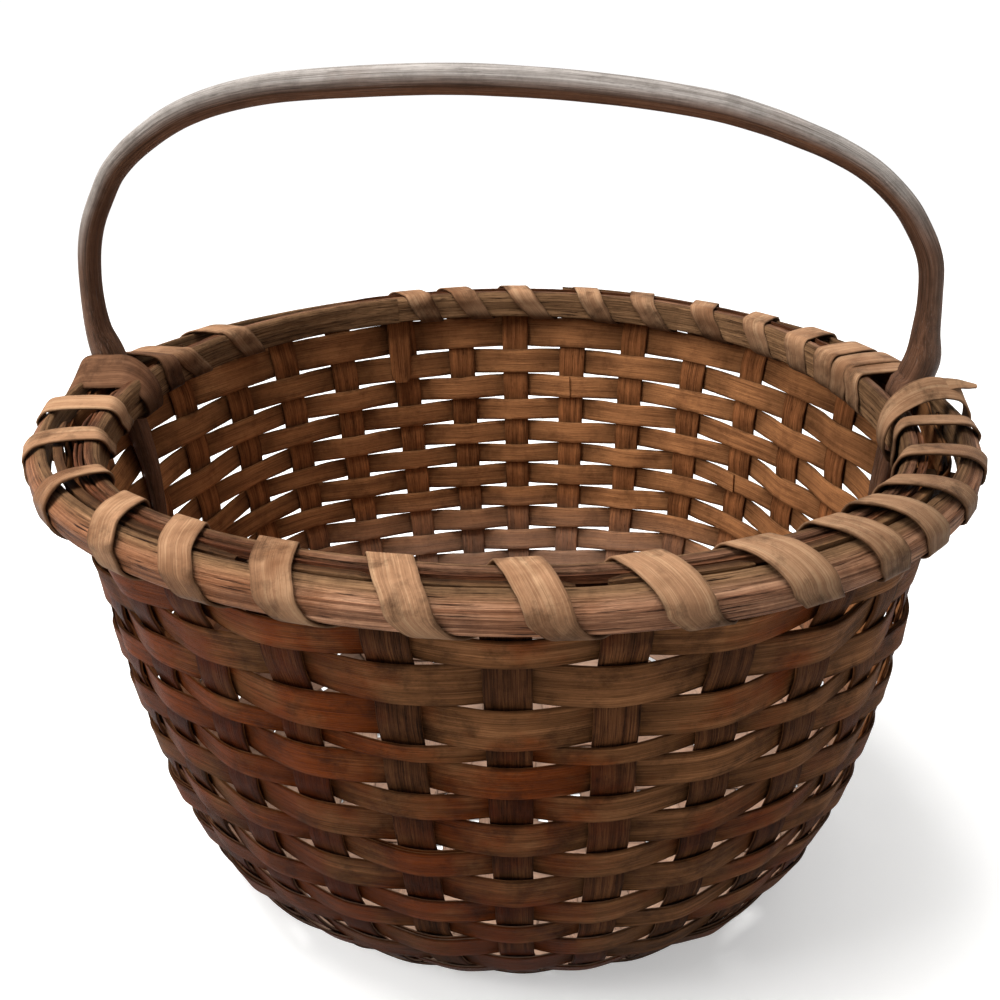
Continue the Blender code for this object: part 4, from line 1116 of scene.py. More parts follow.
@dataclass
class Weaving:
    """The rim row and eighteen rows of flat weavers; each goes round once and laps over its own start."""

    shop: Workshop
    bow: float = 1.9 * MM
    low_bow: float = 0.95 * MM
    rim_bow: float = 1.5 * MM
    front_gap: float = 0.2 * MM
    back_gap: float = 1.2 * MM
    crossing_gap: float = 0.4 * MM
    gap_reach: float = radians(75.0)
    # The top two rows are widened into the lashing's slot, but hardly at the back right
    skirts: tuple = (2.4 * MM, 1.3 * MM)
    bare_heading: float = radians(45.0)
    bare_reach: float = radians(42.0)
    bare_share: float = 0.8
    # Over the lap the start lies to the inside and the end to the outside
    lap_stakes: int = 2
    lap_offset: float = 0.55 * MM
    # The share of the rows, at the bottom, over which the bow eases to its low value
    low_rows: float = 0.4

    def outside(self, row: int, index: int) -> int:
        """Return 1 where a row passes outside a stake, and -1 where it passes inside."""
        return 1 if (row + index) % 2 == 0 else -1

    def gap(self, heading: float) -> float:
        """Return the opening between two rows, which is tighter at the front."""
        away = angle_between(heading, self.shop.form.rows_front_heading) / self.gap_reach
        return self.back_gap + (self.front_gap - self.back_gap) * exp(-away * away)

    def skirt(self, row: int, heading: float) -> tuple[float, float]:
        """Work out how much a row is widened into the lashing's slot.

        Args:
            row: the row, 0 at the rim.
            heading: where along it.

        Returns:
            The added width, and how far it moves the row's middle up.
        """
        bare = exp(-(angle_between(heading, self.bare_heading) / self.bare_reach) ** 4)
        extra = (self.skirts[row] if row < len(self.skirts) else 0.0) * (1.0 - self.bare_share * bare)
        return extra, -extra / 2 if row == 0 else extra / 2

    def row_path(self, row: int, start: int) -> SweptPath:
        """Draw one weaver from its hidden start to its hidden end.

        Args:
            row: the row, 0 at the rim.
            start: the stake that the weaver starts behind.

        Returns:
            The path, one turn and a lap long.
        """
        form, stakes = self.shop.form, self.shop.stakes
        count = form.stake_count
        total = count + self.lap_stakes
        low = max(0.0, row / len(form.rows_front) - 1.0 + self.low_rows) / self.low_rows
        bow = self.rim_bow if row == 0 else self.bow + (self.low_bow - self.bow) * low
        middle = np.array((0.0, form.rim_centre_y / 2))
        places, faces, widths, crowns = [], [], [], []
        for step in range(total + 1):
            here = stakes[(start + step) % count]
            there = stakes[(start + step + 1) % count]
            lap = 1.0 if step >= count else -1.0 if step <= self.lap_stakes else 0.0
            side = self.outside(row, here.index)
            outward = here.outwards[row]
            gap = self.gap(form.stake_heading(here.index))
            extra, shift = self.skirt(row, form.stake_heading(here.index))
            raised = np.array((0.0, 0.0, shift))
            bowed = side * (bow + abs(lap) * self.lap_offset) + lap * self.lap_offset
            places.append(here.row_middle(row) + outward * bowed + raised)
            faces.append(outward)
            widths.append(here.row_width(row, gap + self.crossing_gap) + extra)
            crowns.append(side)
            if step < total:
                mid = (here.row_middle(row) + there.row_middle(row)) / 2
                chord = np.linalg.norm(there.row_middle(row) - here.row_middle(row))
                sagitta = chord ** 2 / (8 * np.linalg.norm(mid[:2] - middle))
                outward = unit(here.outwards[row] + there.outwards[row])
                next_lap = 0.0 if self.lap_stakes <= step < count else lap
                places.append(mid + outward * (sagitta + next_lap * self.lap_offset) + raised)
                faces.append(outward)
                widths.append((here.row_width(row, gap) + there.row_width(row, gap)) / 2 + extra)
                crowns.append(0.0)
        return SweptPath.through(places, faces, widths, form.weaver_thickness, self.shop.STEP, crowns)

    def build(self) -> None:
        """Build the rim row and the rows below it."""
        dice = np.random.default_rng(7)
        for row in range(len(self.shop.form.rows_front) + 1):
            node = "weaver_rim" if row == 0 else f"weaver_{row:02d}"
            start = int(dice.integers(0, self.shop.form.stake_count))
            tone = float(dice.uniform(-0.8, 0.8))
            self.shop.make("woven_" + node, self.row_path(row, start), WEAVER_SPLINT, Slot.WEAVER, (node,),
                           Tone=tone, Seed=row + 1, Edge_Wander=0.6 * MM, Edge_Notch=0.16 * MM,
                           Face_Wave=0.3 * MM)


class Run(Enum):
    """Which way a base splint crosses the base."""

    LONG = "long"
    CROSS = "cross"


@dataclass
class BaseSplints:
    """Fifteen splints, each down one stake, across the plaited base and up another stake."""

    shop: Workshop
    stake_bow: float = 0.7 * MM
    base_bow: float = 1.35 * MM
    long_bow: float = 0.45 * MM
    # The folded stake end: its heading, how that drifts with each millimetre of depth, and the depth,
    # inset and width down its length, in millimetres
    fold_heading: float = radians(117.5)
    fold_drift: float = radians(0.02)
    fold: tuple = ((10, 3.6, 13.0), (18, 4.6, 13.5), (28, 5.0, 13.0), (38, 4.4, 12.4), (47, 4.8, 11.0),
                   (50, 5.2, 7.5))

    def stake_rows(self, stake: StakeLine) -> list[tuple]:
        """Draw a stake from its top down to where it leaves the base.

        Args:
            stake: the stake's line.

        Returns:
            Place, face, width and crown of each control point.
        """
        rows = []
        last = len(stake.stations) - 1
        for i, place in enumerate(stake.stations):
            outward = unit(stake.outwards[max(i - 1, 0)] + stake.outwards[min(i, last - 1)])
            rows.append((place, outward, stake.width_at(i), 0.0))
            if i < last:
                side = -1 if (i + stake.index) % 2 == 0 else 1
                rows.append((stake.row_middle(i) + stake.outwards[i] * side * self.stake_bow,
                             stake.outwards[i], stake.width_at(i + 0.5), side))
        return rows

    def base_rows(self, splint: int, run: Run) -> list[tuple]:
        """Draw a splint across the plaited base, in the direction of growing x or y.

        Args:
            splint: its number in its run.
            run: which way it crosses.

        Returns:
            Place, face, width and crown of each control point.
        """
        form = self.shop.form
        long = run is Run.LONG
        crossed, own = (form.base_along_x, form.base_along_y)[::1 if long else -1]
        sideways = (splint - (own - 1) / 2) * form.base_pitch
        bow = self.long_bow if long else self.base_bow
        turn_x, turn_y = cos(form.base_turn), sin(form.base_turn)
        rows = []
        for half_step in range(2 * crossed - 1):
            lift = 0.0
            if half_step % 2 == 0:
                even = (splint + half_step // 2 + len(form.rows_front)) % 2 == 0
                lift = bow if even == long else -bow
            forwards = (half_step / 2 - (crossed - 1) / 2) * form.base_pitch
            x, y = (sideways, forwards) if long else (forwards, sideways)
            place = (form.base_x + x * turn_x - y * turn_y, x * turn_y + y * turn_x, lift - form.depth)
            rows.append((np.array(place), np.array((0.0, 0.0, -1.0)), form.base_width, -lift / self.base_bow))
        return rows

    def path(self, rows: list[tuple]) -> SweptPath:
        """Return the path through control rows of place, face, width and crown."""
        place, face, width, crown = zip(*rows)
        return SweptPath.through(place, face, width, self.shop.form.stake_thickness, self.shop.STEP, crown)

    def tongue(self) -> None:
        """Build the loose end of a stake that is folded down inside the wall at the back left."""
        form = self.shop.form
        rows = []
        for depth, inward, width in self.fold:
            share = depth * MM / form.depth
            outward = form.wall_outward(self.fold_heading, share)
            place = form.wall_point(self.fold_heading + depth * self.fold_drift, share)
            rows.append((place - outward * inward * MM, outward, width * MM, 0.0))
        self.shop.make("folded_stake_end", self.path(rows), STAKE_SPLINT, Slot.STAKE, Tone=0.3, Seed=71,
                       Edge_Wander=0.4 * MM, Edge_Notch=0.3 * MM, Face_Wave=0.3 * MM)

    def build(self) -> None:
        """Build all the splints."""
        form, stakes = self.shop.form, self.shop.stakes
        half_x = form.base_along_x // 2
        last_y = half_x + 1 + form.base_along_y
        opposite = last_y + form.base_along_x
        dice = np.random.default_rng(11)
        self.tongue()
        for run, count in ((Run.LONG, form.base_along_y), (Run.CROSS, form.base_along_x)):
            for splint in range(count):
                if run is Run.LONG:
                    start, end = stakes[opposite + splint], stakes[last_y - 1 - splint]
                else:
                    start, end = stakes[opposite - 1 - splint], stakes[(splint - half_x) % form.stake_count]
                rows = self.stake_rows(start) + self.base_rows(splint, run) + self.stake_rows(end)[::-1]
                node = f"base_splint_{run.value}_{splint + 1}"
                self.shop.make("plaited_" + node, self.path(rows), STAKE_SPLINT, Slot.STAKE, (node,),
                               Tone=float(dice.uniform(-0.7, 0.7)), Seed=40 + splint + 10 * count,
                               Edge_Wander=0.3 * MM, Edge_Notch=0.12 * MM, Face_Wave=0.12 * MM)


@dataclass
class Rim:
    """The two split-wood hoops with scarfed ends, and the fillers between them."""

    shop: Workshop
    outer_start: float = radians(60.0)
    inner_start: float = radians(118.0)
    scarf: float = radians(26.0)
    # Shares of its thickness that a hoop has at its very end, and past the scarf
    scarf_end: float = 0.06
    scarf_full: float = 0.98
    steps: int = 150
    corner: float = 0.7 * MM
    # Corners in shares of the half sizes: x runs downwards across the bar, y outwards
    inner_corners: tuple = ((-1, -0.45), (-0.75, -1), (1, -1), (1, 1), (-1, 1))
    # The fillers stand between the wall and the inner hoop, clear of both
    filler_clearance: float = 1.3 * MM
    filler_size: tuple = (7.0 * MM, 1.4 * MM)
    filler_room: float = radians(6.0)
    filler_end: float = 0.45
    filler_pitch: float = radians(4.0)
    # Thin strips lie further out: name, ends in degrees, rise, height and thickness
    strip_back: float = 1.6 * MM
    strips: tuple = (("strip_front", 196.0, 338.0, -0.3 * MM, (3.0 * MM, 1.0 * MM)),
                     ("strip_back", 16.0, 128.0, 0.4 * MM, (2.4 * MM, 1.0 * MM)))
    bar_size: tuple = (3.0 * MM, 3.3 * MM)
    bar_push: float = 0.3
    # Ends in degrees, inset and rise of each filler bar
    bars: tuple = ((198.0, 251.5, 10.4 * MM, -1.2 * MM), (253.0, 266.6, 10.2 * MM, -1.0 * MM),
                   (268.5, 286.0, 10.5 * MM, -1.6 * MM), (289.0, 303.0, 10.2 * MM, -0.6 * MM),
                   (304.5, 331.0, 10.4 * MM, -0.4 * MM))

    def hoop(self, start: float, inset: float, size: tuple[float, float], top: float,
             spread: bool) -> SweptPath:
        """Draw a hoop once round and on over the scarf, where it thins so that its ends share the space.

        Args:
            start: heading where the hoop starts.
            inset: how far its outer face is from the outer hoop's outer face.
            size: its height and its thickness.
            top: height of its upper edge.
            spread: whether the handle's feet push it inwards.

        Returns:
            The path.
        """
        form = self.shop.form
        height, thickness = size
        places, faces, thicks = [], [], []
        total = 2 * pi + self.scarf
        for i in range(self.steps + 1):
            heading = start + total * i / self.steps
            begun, left = (heading - start) / self.scarf, (start + total - heading) / self.scarf
            share = self.scarf_end + (self.scarf_full - self.scarf_end) * max(0.0, min(1.0, begun, left))
            shift = (1.0 if begun < 1.0 else -1.0 if left < 1.0 else 0.0) * thickness * (1.0 - share) / 2
            push = form.hoop_spread(heading) if spread else 0.0
            middle = inset + push + thickness / 2 + shift
            places.append(form.bar_point(heading, middle, top - height / 2))
            faces.append(form.rim_outward(heading, middle))
            thicks.append(thickness * share)
        return SweptPath.through(places, faces, height, thicks, self.shop.STEP, across=(0.0, 0.0, -1.0))

    def build(self) -> None:
        """Build the hoops and the fillers."""
        form, shop = self.shop.form, self.shop
        bevel = 1 - 2 * form.outer_bevel / form.outer_height
        outer_corners = ((-1, -1), (1, -1), (1, 0.6), (0.7, 1), (-bevel, 1), (-1, -0.5))
        outer_size = form.outer_height, form.outer_thickness
        inner_size = form.inner_height, form.inner_thickness
        outer = self.hoop(self.outer_start, 0.0, outer_size, 0.0, False)
        inner = self.hoop(self.inner_start, form.inner_inset, inner_size, form.inner_rise, True)
        shop.make("split_outer_hoop", outer, HOOP_WOOD, Slot.HOOP, ("outer_hoop",),
                  section_outline(rounded(outer_corners, self.corner, outer_size), "outer_hoop_outline"),
                  Tone=0.2, Seed=80, Edge_Wander=0.25 * MM, Edge_Notch=0.05 * MM, Face_Wave=0.3 * MM,
                  Relief=0.45 * MM, Relief_Width=2.6 * MM, Relief_Length=90 * MM)
        shop.make("split_inner_hoop", inner, HOOP_WOOD, Slot.HOOP, ("inner_hoop",),
                  section_outline(rounded(self.inner_corners, self.corner, inner_size), "inner_hoop_outline"),
                  Tone=-0.1, Seed=81, Edge_Wander=0.3 * MM, Edge_Notch=0.06 * MM, Face_Wave=0.3 * MM,
                  Relief=0.45 * MM, Relief_Width=2.4 * MM, Relief_Length=70 * MM)
        left, right = form.foot_heading(-1) % (2 * pi), form.foot_heading(1)
        near = form.inner_inset - self.filler_clearance
        middle = form.filler_rise - self.filler_size[0] / 2
        for seed, (name, start, end) in enumerate((("front", left, right + 2 * pi), ("back", right, left))):
            self.filler("rough_filler_" + name, (start + self.filler_room, end - self.filler_room), near,
                        middle, self.filler_size, seed, ("filler_splint_" + name,))
        for seed, (name, start, end, rise, size) in enumerate(self.strips, 2):
            self.filler("rough_filler_" + name, (radians(start), radians(end)), near - self.strip_back, rise,
                        size, seed)
        for seed, (start, end, inset, rise) in enumerate(self.bars, 4):
            self.filler(f"filler_bar_{seed - 3}", (radians(start), radians(end)), inset, rise, self.bar_size,
                        seed, finish=BAR_FILLER)

    def filler(self, name: str, ends: tuple[float, float], inset: float, rise: float,
               size: tuple[float, float], seed: int, nodes: tuple[str, ...] = (),
               finish: AgedWood = FILLER_SPLINT) -> None:
        """Build one strip that lies along the groove between the hoops.

        Args:
            name: the piece's name.
            ends: headings of its two ends.
            inset: its middle's distance from the outer hoop's outer face, before the feet spread the hoops.
            rise: its middle's height above the hoops' level.
            size: height and thickness.
            seed: what makes its edges differ from its neighbours'.
            nodes: the nodes it stands for.
            finish: its finish.
        """
        form = self.shop.form
        height, thick = size
        bar = finish is BAR_FILLER
        places, faces = [], []
        for heading in np.linspace(*ends, max(12, int((ends[1] - ends[0]) / self.filler_pitch))):
            pushed = form.hoop_spread(heading) * (self.bar_push if bar else 1.0)
            places.append(form.bar_point(heading, inset + pushed, rise))
            faces.append(form.rim_outward(heading, inset))
        taper = np.ones(len(places))
        taper[[0, -1]] = self.filler_end
        path = SweptPath.through(places, faces, height * taper, thick * taper, self.shop.STEP,
                                 across=(0.0, 0.0, -1.0))
        ragged = min(1.0, height / self.filler_size[0])
        self.shop.make(name, path, finish, Slot.FILLER, nodes, Tone=0.15 * (seed % 3) - 0.1, Seed=90 + seed,
                       Edge_Wander=1.0 * MM * ragged, Edge_Notch=0.45 * MM * ragged, Face_Wave=0.4 * MM,
                       Relief=0.3 * MM if bar else 0.0, Relief_Width=1.6 * MM, Relief_Length=30 * MM)


@dataclass(frozen=True)
class Turn:
    """One turn of lashing: the headings, in degrees, where it tops the inner hoop and leaves the outer one.

    The lean, in degrees, raises its edge on the side of growing headings; the lift holds it off the hoops.
    """

    inner: float
    outer: float
    width: float = 14.6 * MM
    lean: float = 0.0
    lift: float = 0.5 * MM


@dataclass
class Lashing:
    """A long flat splint that winds round both hoops, in three lengths, and the straps at the feet."""

    shop: Workshop
    thickness: float = 1.0 * MM
    drop: float = 2.5 * MM
    slack: float = 0.5 * MM
    step: float = 1.5 * MM
    clear: float = 0.15 * MM
    # Degrees from the first turn's top and from the last one's face to where the length starts and ends
    first_slot: float = -4.5
    last_slot: float = 4.0
    end_width: float = 13.0 * MM
    # Shares of its width that a turn keeps where it goes through the wall, and that its lean raises it by
    slot_width: float = 0.9
    lean_rise: float = 0.8
    left: tuple = (Turn(153.0, 156.0, lift=0.3 * MM), Turn(167.5, 170.0, lift=0.3 * MM))
    front: tuple = (
        Turn(194.75, 191.75, 13.0 * MM, -6.0, 0.8 * MM), Turn(207.0, 204.75, 13.0 * MM, -2.0, 0.9 * MM),
        Turn(221.0, 221.0, 13.6 * MM, 9.0, 1.2 * MM), Turn(231.5, 236.25, 14.2 * MM, 4.0, 1.2 * MM),
        Turn(242.0, 247.5, 14.2 * MM, 0.0, 0.9 * MM), Turn(254.5, 258.5, 14.2 * MM, 0.0, 1.1 * MM),
        Turn(267.5, 271.25, 14.6 * MM, 0.0, 1.0 * MM), Turn(280.75, 283.5, 14.0 * MM, 4.0, 1.3 * MM),
        Turn(292.75, 295.5, 15.0 * MM, 4.0, 1.1 * MM), Turn(304.25, 307.25, 16.4 * MM, 0.0, 1.6 * MM),
        Turn(314.0, 316.5, 13.8 * MM, -4.0, 0.8 * MM), Turn(320.5, 323.5, 14.2 * MM, -8.0, 1.4 * MM),
        Turn(327.0, 332.0, 12.6 * MM, -6.0, 1.2 * MM), Turn(336.25, 342.5, 12.4 * MM, -5.0, 1.2 * MM),
        Turn(346.0, 352.25, 12.0 * MM, -6.0, 1.1 * MM))
    back: tuple = (
        Turn(9.6, 12.4, 13.6 * MM, 0.0, 0.6 * MM), Turn(13.2, 16.2, 14.4 * MM, 0.0, 1.5 * MM),
        Turn(20.0, 23.4), Turn(30.0, 33.0), Turn(42.3, 45.4), Turn(55.0, 58.2), Turn(68.3, 71.5),
        Turn(79.5, 83.0), Turn(93.5, 96.5), Turn(104.8, 107.8), Turn(113.8, 116.6))
    back_turn: Turn = Turn(172.0, 172.5, 12.5 * MM, 14.0, 1.4 * MM)
    back_turn_slots: tuple = (171.0, 173.0)
    # The straps' control points: x, y and z in the drawing frame in millimetres, lean in degrees, and width
    left_strap: tuple = (
        (-184, -19, -15, 0, 15), (-193, -19, -14, 0, 16), (-197, -20, -8, 8, 16.5),
        (-195.5, -21, -1, 25, 16.5), (-189, -21, 5, 45, 16.5), (-178, -21, 6, 48, 16.5),
        (-168, -21, 6, 45, 16.5), (-161, -21, 2, 28, 16.5), (-157.5, -20, -5, 10, 16),
        (-158.5, -19, -13, 0, 15), (-166, -18, -15, 0, 14))
    right_strap: tuple = (
        (163, -50, -15, 0, 11), (157, -51, -12, 0, 12), (155, -50, -5, 5, 12.5), (157.5, -47, 2.5, 18, 12.5),
        (164, -42, 7, 30, 12.5), (173, -35, 8.5, 36, 11.5), (181, -30, 7.5, 34, 10.5),
        (188.5, -26, 4, 22, 10), (192.5, -25, -3, 8, 10), (192, -25, -10, 0, 10), (185, -25, -14, 0, 9))
    right_tail: tuple = (
        (174, -31, 7, 40, 7), (181, -28, 8.2, 40, 6), (187, -25.5, 7.8, 36, 4.6), (192, -23.5, 6.6, 28, 3.4),
        (195.5, -22, 5.8, 20, 2))

    @property
    def slot(self) -> float:
        """Return the height at which the lashing passes through the wall."""
        return self.shop.form.rim_row_top - self.shop.form.rim_row_width - self.drop

    def turn(self, turn: Turn, start: float, end: float) -> list[tuple]:
        """Draw one turn, from its slot inside the wall round to under the outer hoop.

        Args:
            turn: the turn's headings, width, lean and lift.
            start: heading in degrees of the slot it comes through.
            end: heading in degrees of the slot it goes through again.

        Returns:
            Place, across and width of each control point.
        """
        form = self.shop.form
        skin = self.thickness / 2 + self.clear
        behind = form.inner_thickness + skin + self.slack
        top, low = form.inner_rise, form.inner_rise - form.inner_height
        bevel, tall, thick = form.outer_bevel, form.outer_height, form.outer_thickness
        lift, slot = turn.lift, self.slot
        reach, out, left = turn.inner - start, turn.outer - turn.inner, end - turn.outer
        # Heading, how much of the inset is the wall's and the inner hoop's, what is added to that, height,
        # and how much of the lean it has
        stations = (
            (start, 1.0, 0.0, 0.0, slot, 0.0),
            (start + reach * 0.05, 0.5, 0.5, behind / 2 + 1.0 * MM, (slot + low) / 2 - 1.0 * MM, 0.0),
            (start + reach * 0.25, 0.0, 1.0, behind, low + 1.0 * MM, 0.0),
            (start + reach * 0.60, 0.0, 1.0, behind, (low + top) / 2, 0.2),
            (start + reach * 0.84, 0.0, 1.0, behind, top - 2.6 * MM, 0.5),
            (turn.inner, 0.0, 1.0, behind - 1.9 * MM, top + skin + lift * 0.3, 0.8),
            (turn.inner + out * 0.16, 0.0, 1.0, 0.8 * MM, top + skin + lift * 0.8, 1.0),
            (turn.inner + out * 0.36, 1.0, 0.0, 0.0, top + skin + lift, 1.0),
            (turn.inner + out * 0.56, 0.0, 0.0, thick * 0.72, skin + lift * 0.7 + 0.2 * MM, 1.0),
            (turn.inner + out * 0.76, 0.0, 0.0, thick * 0.30 - skin * 0.4, skin * 0.7 - bevel * 0.25, 0.8),
            (turn.inner + out * 0.90, 0.0, 0.0, -skin * 0.9, -bevel * 0.85, 0.5),
            (turn.outer, 0.0, 0.0, -skin - 0.1 * MM, -bevel - 2.2 * MM, 0.2),
            (turn.outer + left * 0.25, 0.0, 0.0, -skin * 0.8, -tall * 0.88, 0.0),
            (turn.outer + left * 0.50, 0.0, 0.0, thick * 0.22, -tall - skin, 0.0),
            (turn.outer + left * 0.78, 0.0, 0.0, thick * 0.80, slot - skin * 0.2, 0.0))
        rows = []
        for degrees_round, of_wall, of_inner, added, height, leaning in stations:
            heading = radians(degrees_round)
            lean = radians(turn.lean) * leaning
            inset = of_wall * form.wall_side(heading) + of_inner * form.inner_side(heading) + added
            raised = height + turn.width / 2 * abs(sin(lean)) * self.lean_rise
            place_at = form.rim_point if height == slot else form.bar_point
            across = form.rim_tangent(heading) * cos(lean) + np.array((0.0, 0.0, sin(lean)))
            width = turn.width * (self.slot_width if leaning == 0.0 else 1.0)
            rows.append((place_at(heading, inset, raised), across, width))
        return rows

    def wound(self, name: str, rows: list[tuple], nodes: tuple[str, ...], seed: int, tone: float,
              finish: AgedWood = LASHING_SPLINT) -> None:
        """Sweep the lashing through control rows.

        Args:
            name: the piece's name.
            rows: place, across and width at each control point.
            nodes: the nodes it stands for.
            seed: what makes its edges differ.
            tone: how light or dark it is, from -1 to 1.
            finish: its finish.
        """
        places, across, widths = (np.array(values) for values in zip(*rows))
        facing = unit(np.cross(-across, unit(np.gradient(places, axis=0))))
        path = SweptPath.through(places, facing, widths, self.thickness, self.step, across=-across)
        self.shop.make(name, path, finish, Slot.LASHING, nodes, Tone=tone, Seed=seed, Edge_Wander=0.5 * MM,
                       Edge_Notch=0.2 * MM, Face_Wave=0.2 * MM)

    def strap(self, name: str, points: tuple, seed: int, finish: AgedWood) -> None:
        """Build a strap at a foot.

        Args:
            name: the piece's name.
            points: its control points, as the fields give them.
            seed: what makes its edges differ.
            finish: its finish.
        """
        rows = [(np.array(place) * MM, np.array((0.0, cos(radians(lean)), sin(radians(lean)))), width * MM)
                for *place, lean, width in points]
        self.wound(name, rows, (), seed, 0.0, finish)

    def build(self) -> None:
        """Build the three lengths and the straps that hold the feet."""
        form = self.shop.form
        for run, (name, turns) in enumerate((("lashing_left", self.left), ("lashing_front", self.front),
                                             ("lashing_back", self.back))):
            slots = [turns[0].inner + self.first_slot]
            slots += [(here.outer + there.inner) / 2 for here, there in zip(turns, turns[1:])]
            slots.append(turns[-1].outer + self.last_slot)
            rows = []
            for turn, start, end in zip(turns, slots, slots[1:]):
                rows += self.turn(turn, start, end)
            last = radians(slots[-1])
            rows.append((form.rim_point(last, form.wall_side(last), self.slot), form.rim_tangent(last),
                         self.end_width))
            self.wound("wound_" + name, rows, (name,), 100 + run, 0.1 * run - 0.1)
        self.strap("left_foot_strap", self.left_strap, 110, HANDLED_STRAP)
        self.wound("left_foot_back_turn", self.turn(self.back_turn, *self.back_turn_slots), (), 111, -0.2,
                   HANDLED_STRAP)
        self.strap("right_foot_strap", self.right_strap, 112, LASHING_SPLINT)
        self.strap("right_foot_tail", self.right_tail, 113, LASHING_SPLINT)


@dataclass
class Handle:
    """The carved bow with its feet and the tapered tails inside the wall."""

    shop: Workshop
    rise: float = 124.0 * MM
    grip_thickness: float = 11.6 * MM
    leg_thickness: float = 9.2 * MM
    grip_width: float = 12.5 * MM
    leg_width: float = 11.0 * MM
    foot_thickness: float = 10.6 * MM
    foot_width: float = 16.0 * MM
    shoulder: float = 13.5 * MM
    level_below: float = 0.15
    tail_length: float = 95.0 * MM
    tail_thickness: float = 3.0 * MM
    tail_width: float = 7.0 * MM
    tail_steps: int = 6
    # What stands between a foot and the wall's middle, and above the inner hoop, and its play in the hoops
    wall_room: float = 2.8 * MM
    top_room: float = 1.6 * MM
    play: float = 0.6 * MM
    # Shares of the rise above which the leg is its own size, and above which it grows into the grip
    leg_from: float = 0.25
    grip_from: float = 0.6
    # The section has eight sides; its flats reach this share of its half sizes
    corner: float = 0.42
    corner_radius: float = 1.6 * MM
    # The bow's line: shares of the rim's radius and of the rise
    bow: tuple = (
        (-1.038, 0.10), (-1.049, 0.18), (-1.047, 0.31), (-1.032, 0.45), (-1.007, 0.553), (-0.969, 0.648),
        (-0.925, 0.735), (-0.848, 0.823), (-0.737, 0.908), (-0.607, 0.962), (-0.45, 0.99), (-0.13, 1.0),
        (0.07, 0.986), (0.284, 0.953), (0.49, 0.903), (0.605, 0.857), (0.69, 0.812), (0.762, 0.768),
        (0.837, 0.706), (0.896, 0.635), (0.941, 0.56), (0.990, 0.43), (1.003, 0.297), (1.005, 0.19),
        (1.006, 0.10))

    def tail(self, side: int) -> list[tuple[float, float, float, float]]:
        """Draw a tail from its tip inside the basket, against the wall, up to the foot.

        Args:
            side: -1 for the left foot and 1 for the right one.

        Returns:
            Place in x and z, thickness and width of each station.
        """
        form = self.shop.form
        heading = form.foot_heading(side)
        rows = []
        for share in np.linspace(0.0, 1.0, self.tail_steps + 1):
            depth = self.tail_length * (1.0 - share)
            thickness = self.tail_thickness + (self.foot_thickness - self.tail_thickness) * share
            width = self.tail_width + (self.foot_width - self.tail_width) * share
            wall = form.wall_point(heading, depth / form.depth)[0]
            rows.append((wall - side * (self.wall_room + thickness / 2), -depth, thickness, width))
        inset = form.outer_thickness + self.play + self.shoulder / 2
        rows.append((form.rim_point(heading, inset, 0.0)[0], form.inner_rise + self.top_room, self.shoulder,
                     self.foot_width))
        return rows

    def build(self) -> None:
        """Build the handle in one piece from tip to tip."""
        form = self.shop.form
        stations = self.tail(-1)
        for share_x, share_z in self.bow:
            grip = max(0.0, (share_z - self.grip_from) / (1.0 - self.grip_from))
            thickness = self.leg_thickness + (self.grip_thickness - self.leg_thickness) * grip ** 2
            width = self.leg_width + (self.grip_width - self.leg_width) * grip
            if share_z < self.level_below:
                thickness, width = self.shoulder, self.foot_width
            elif share_z < self.leg_from:
                thickness, width = self.foot_thickness, (self.foot_width + self.leg_width) / 2
            stations.append((share_x * form.rim_radius, share_z * self.rise, thickness, width))
        x, z, thickness, width = np.array(stations + self.tail(1)[::-1]).T
        places = np.column_stack((x, np.full(len(x), form.handle_y), z))
        along = unit(np.gradient(places, axis=0))
        level = z < self.level_below * self.rise
        along[level] = np.sign(along[level, 2])[:, None] * np.array((0.0, 0.0, 1.0))
        faces = np.column_stack((-along[:, 2], np.zeros(len(x)), along[:, 0]))
        path = SweptPath.through(places, faces, width, thickness, self.shop.STEP, across=(0.0, -1.0, 0.0))
        flat = self.corner
        corners = ((-1, -flat), (-flat, -1), (flat, -1), (1, -flat), (1, flat), (flat, 1), (-flat, 1),
                   (-1, flat))
        outline = rounded(corners, self.corner_radius, (self.grip_width, self.grip_thickness))
        self.shop.make("carved_handle", path, HANDLE_WOOD, Slot.HANDLE, ("handle",),
                       section_outline(outline, "handle_outline"), Tone=0.0, Seed=120,
                       Edge_Wander=0.25 * MM, Edge_Notch=0.0, Face_Wave=0.2 * MM, Relief=0.3 * MM,
                       Relief_Width=5 * MM, Relief_Length=80 * MM)


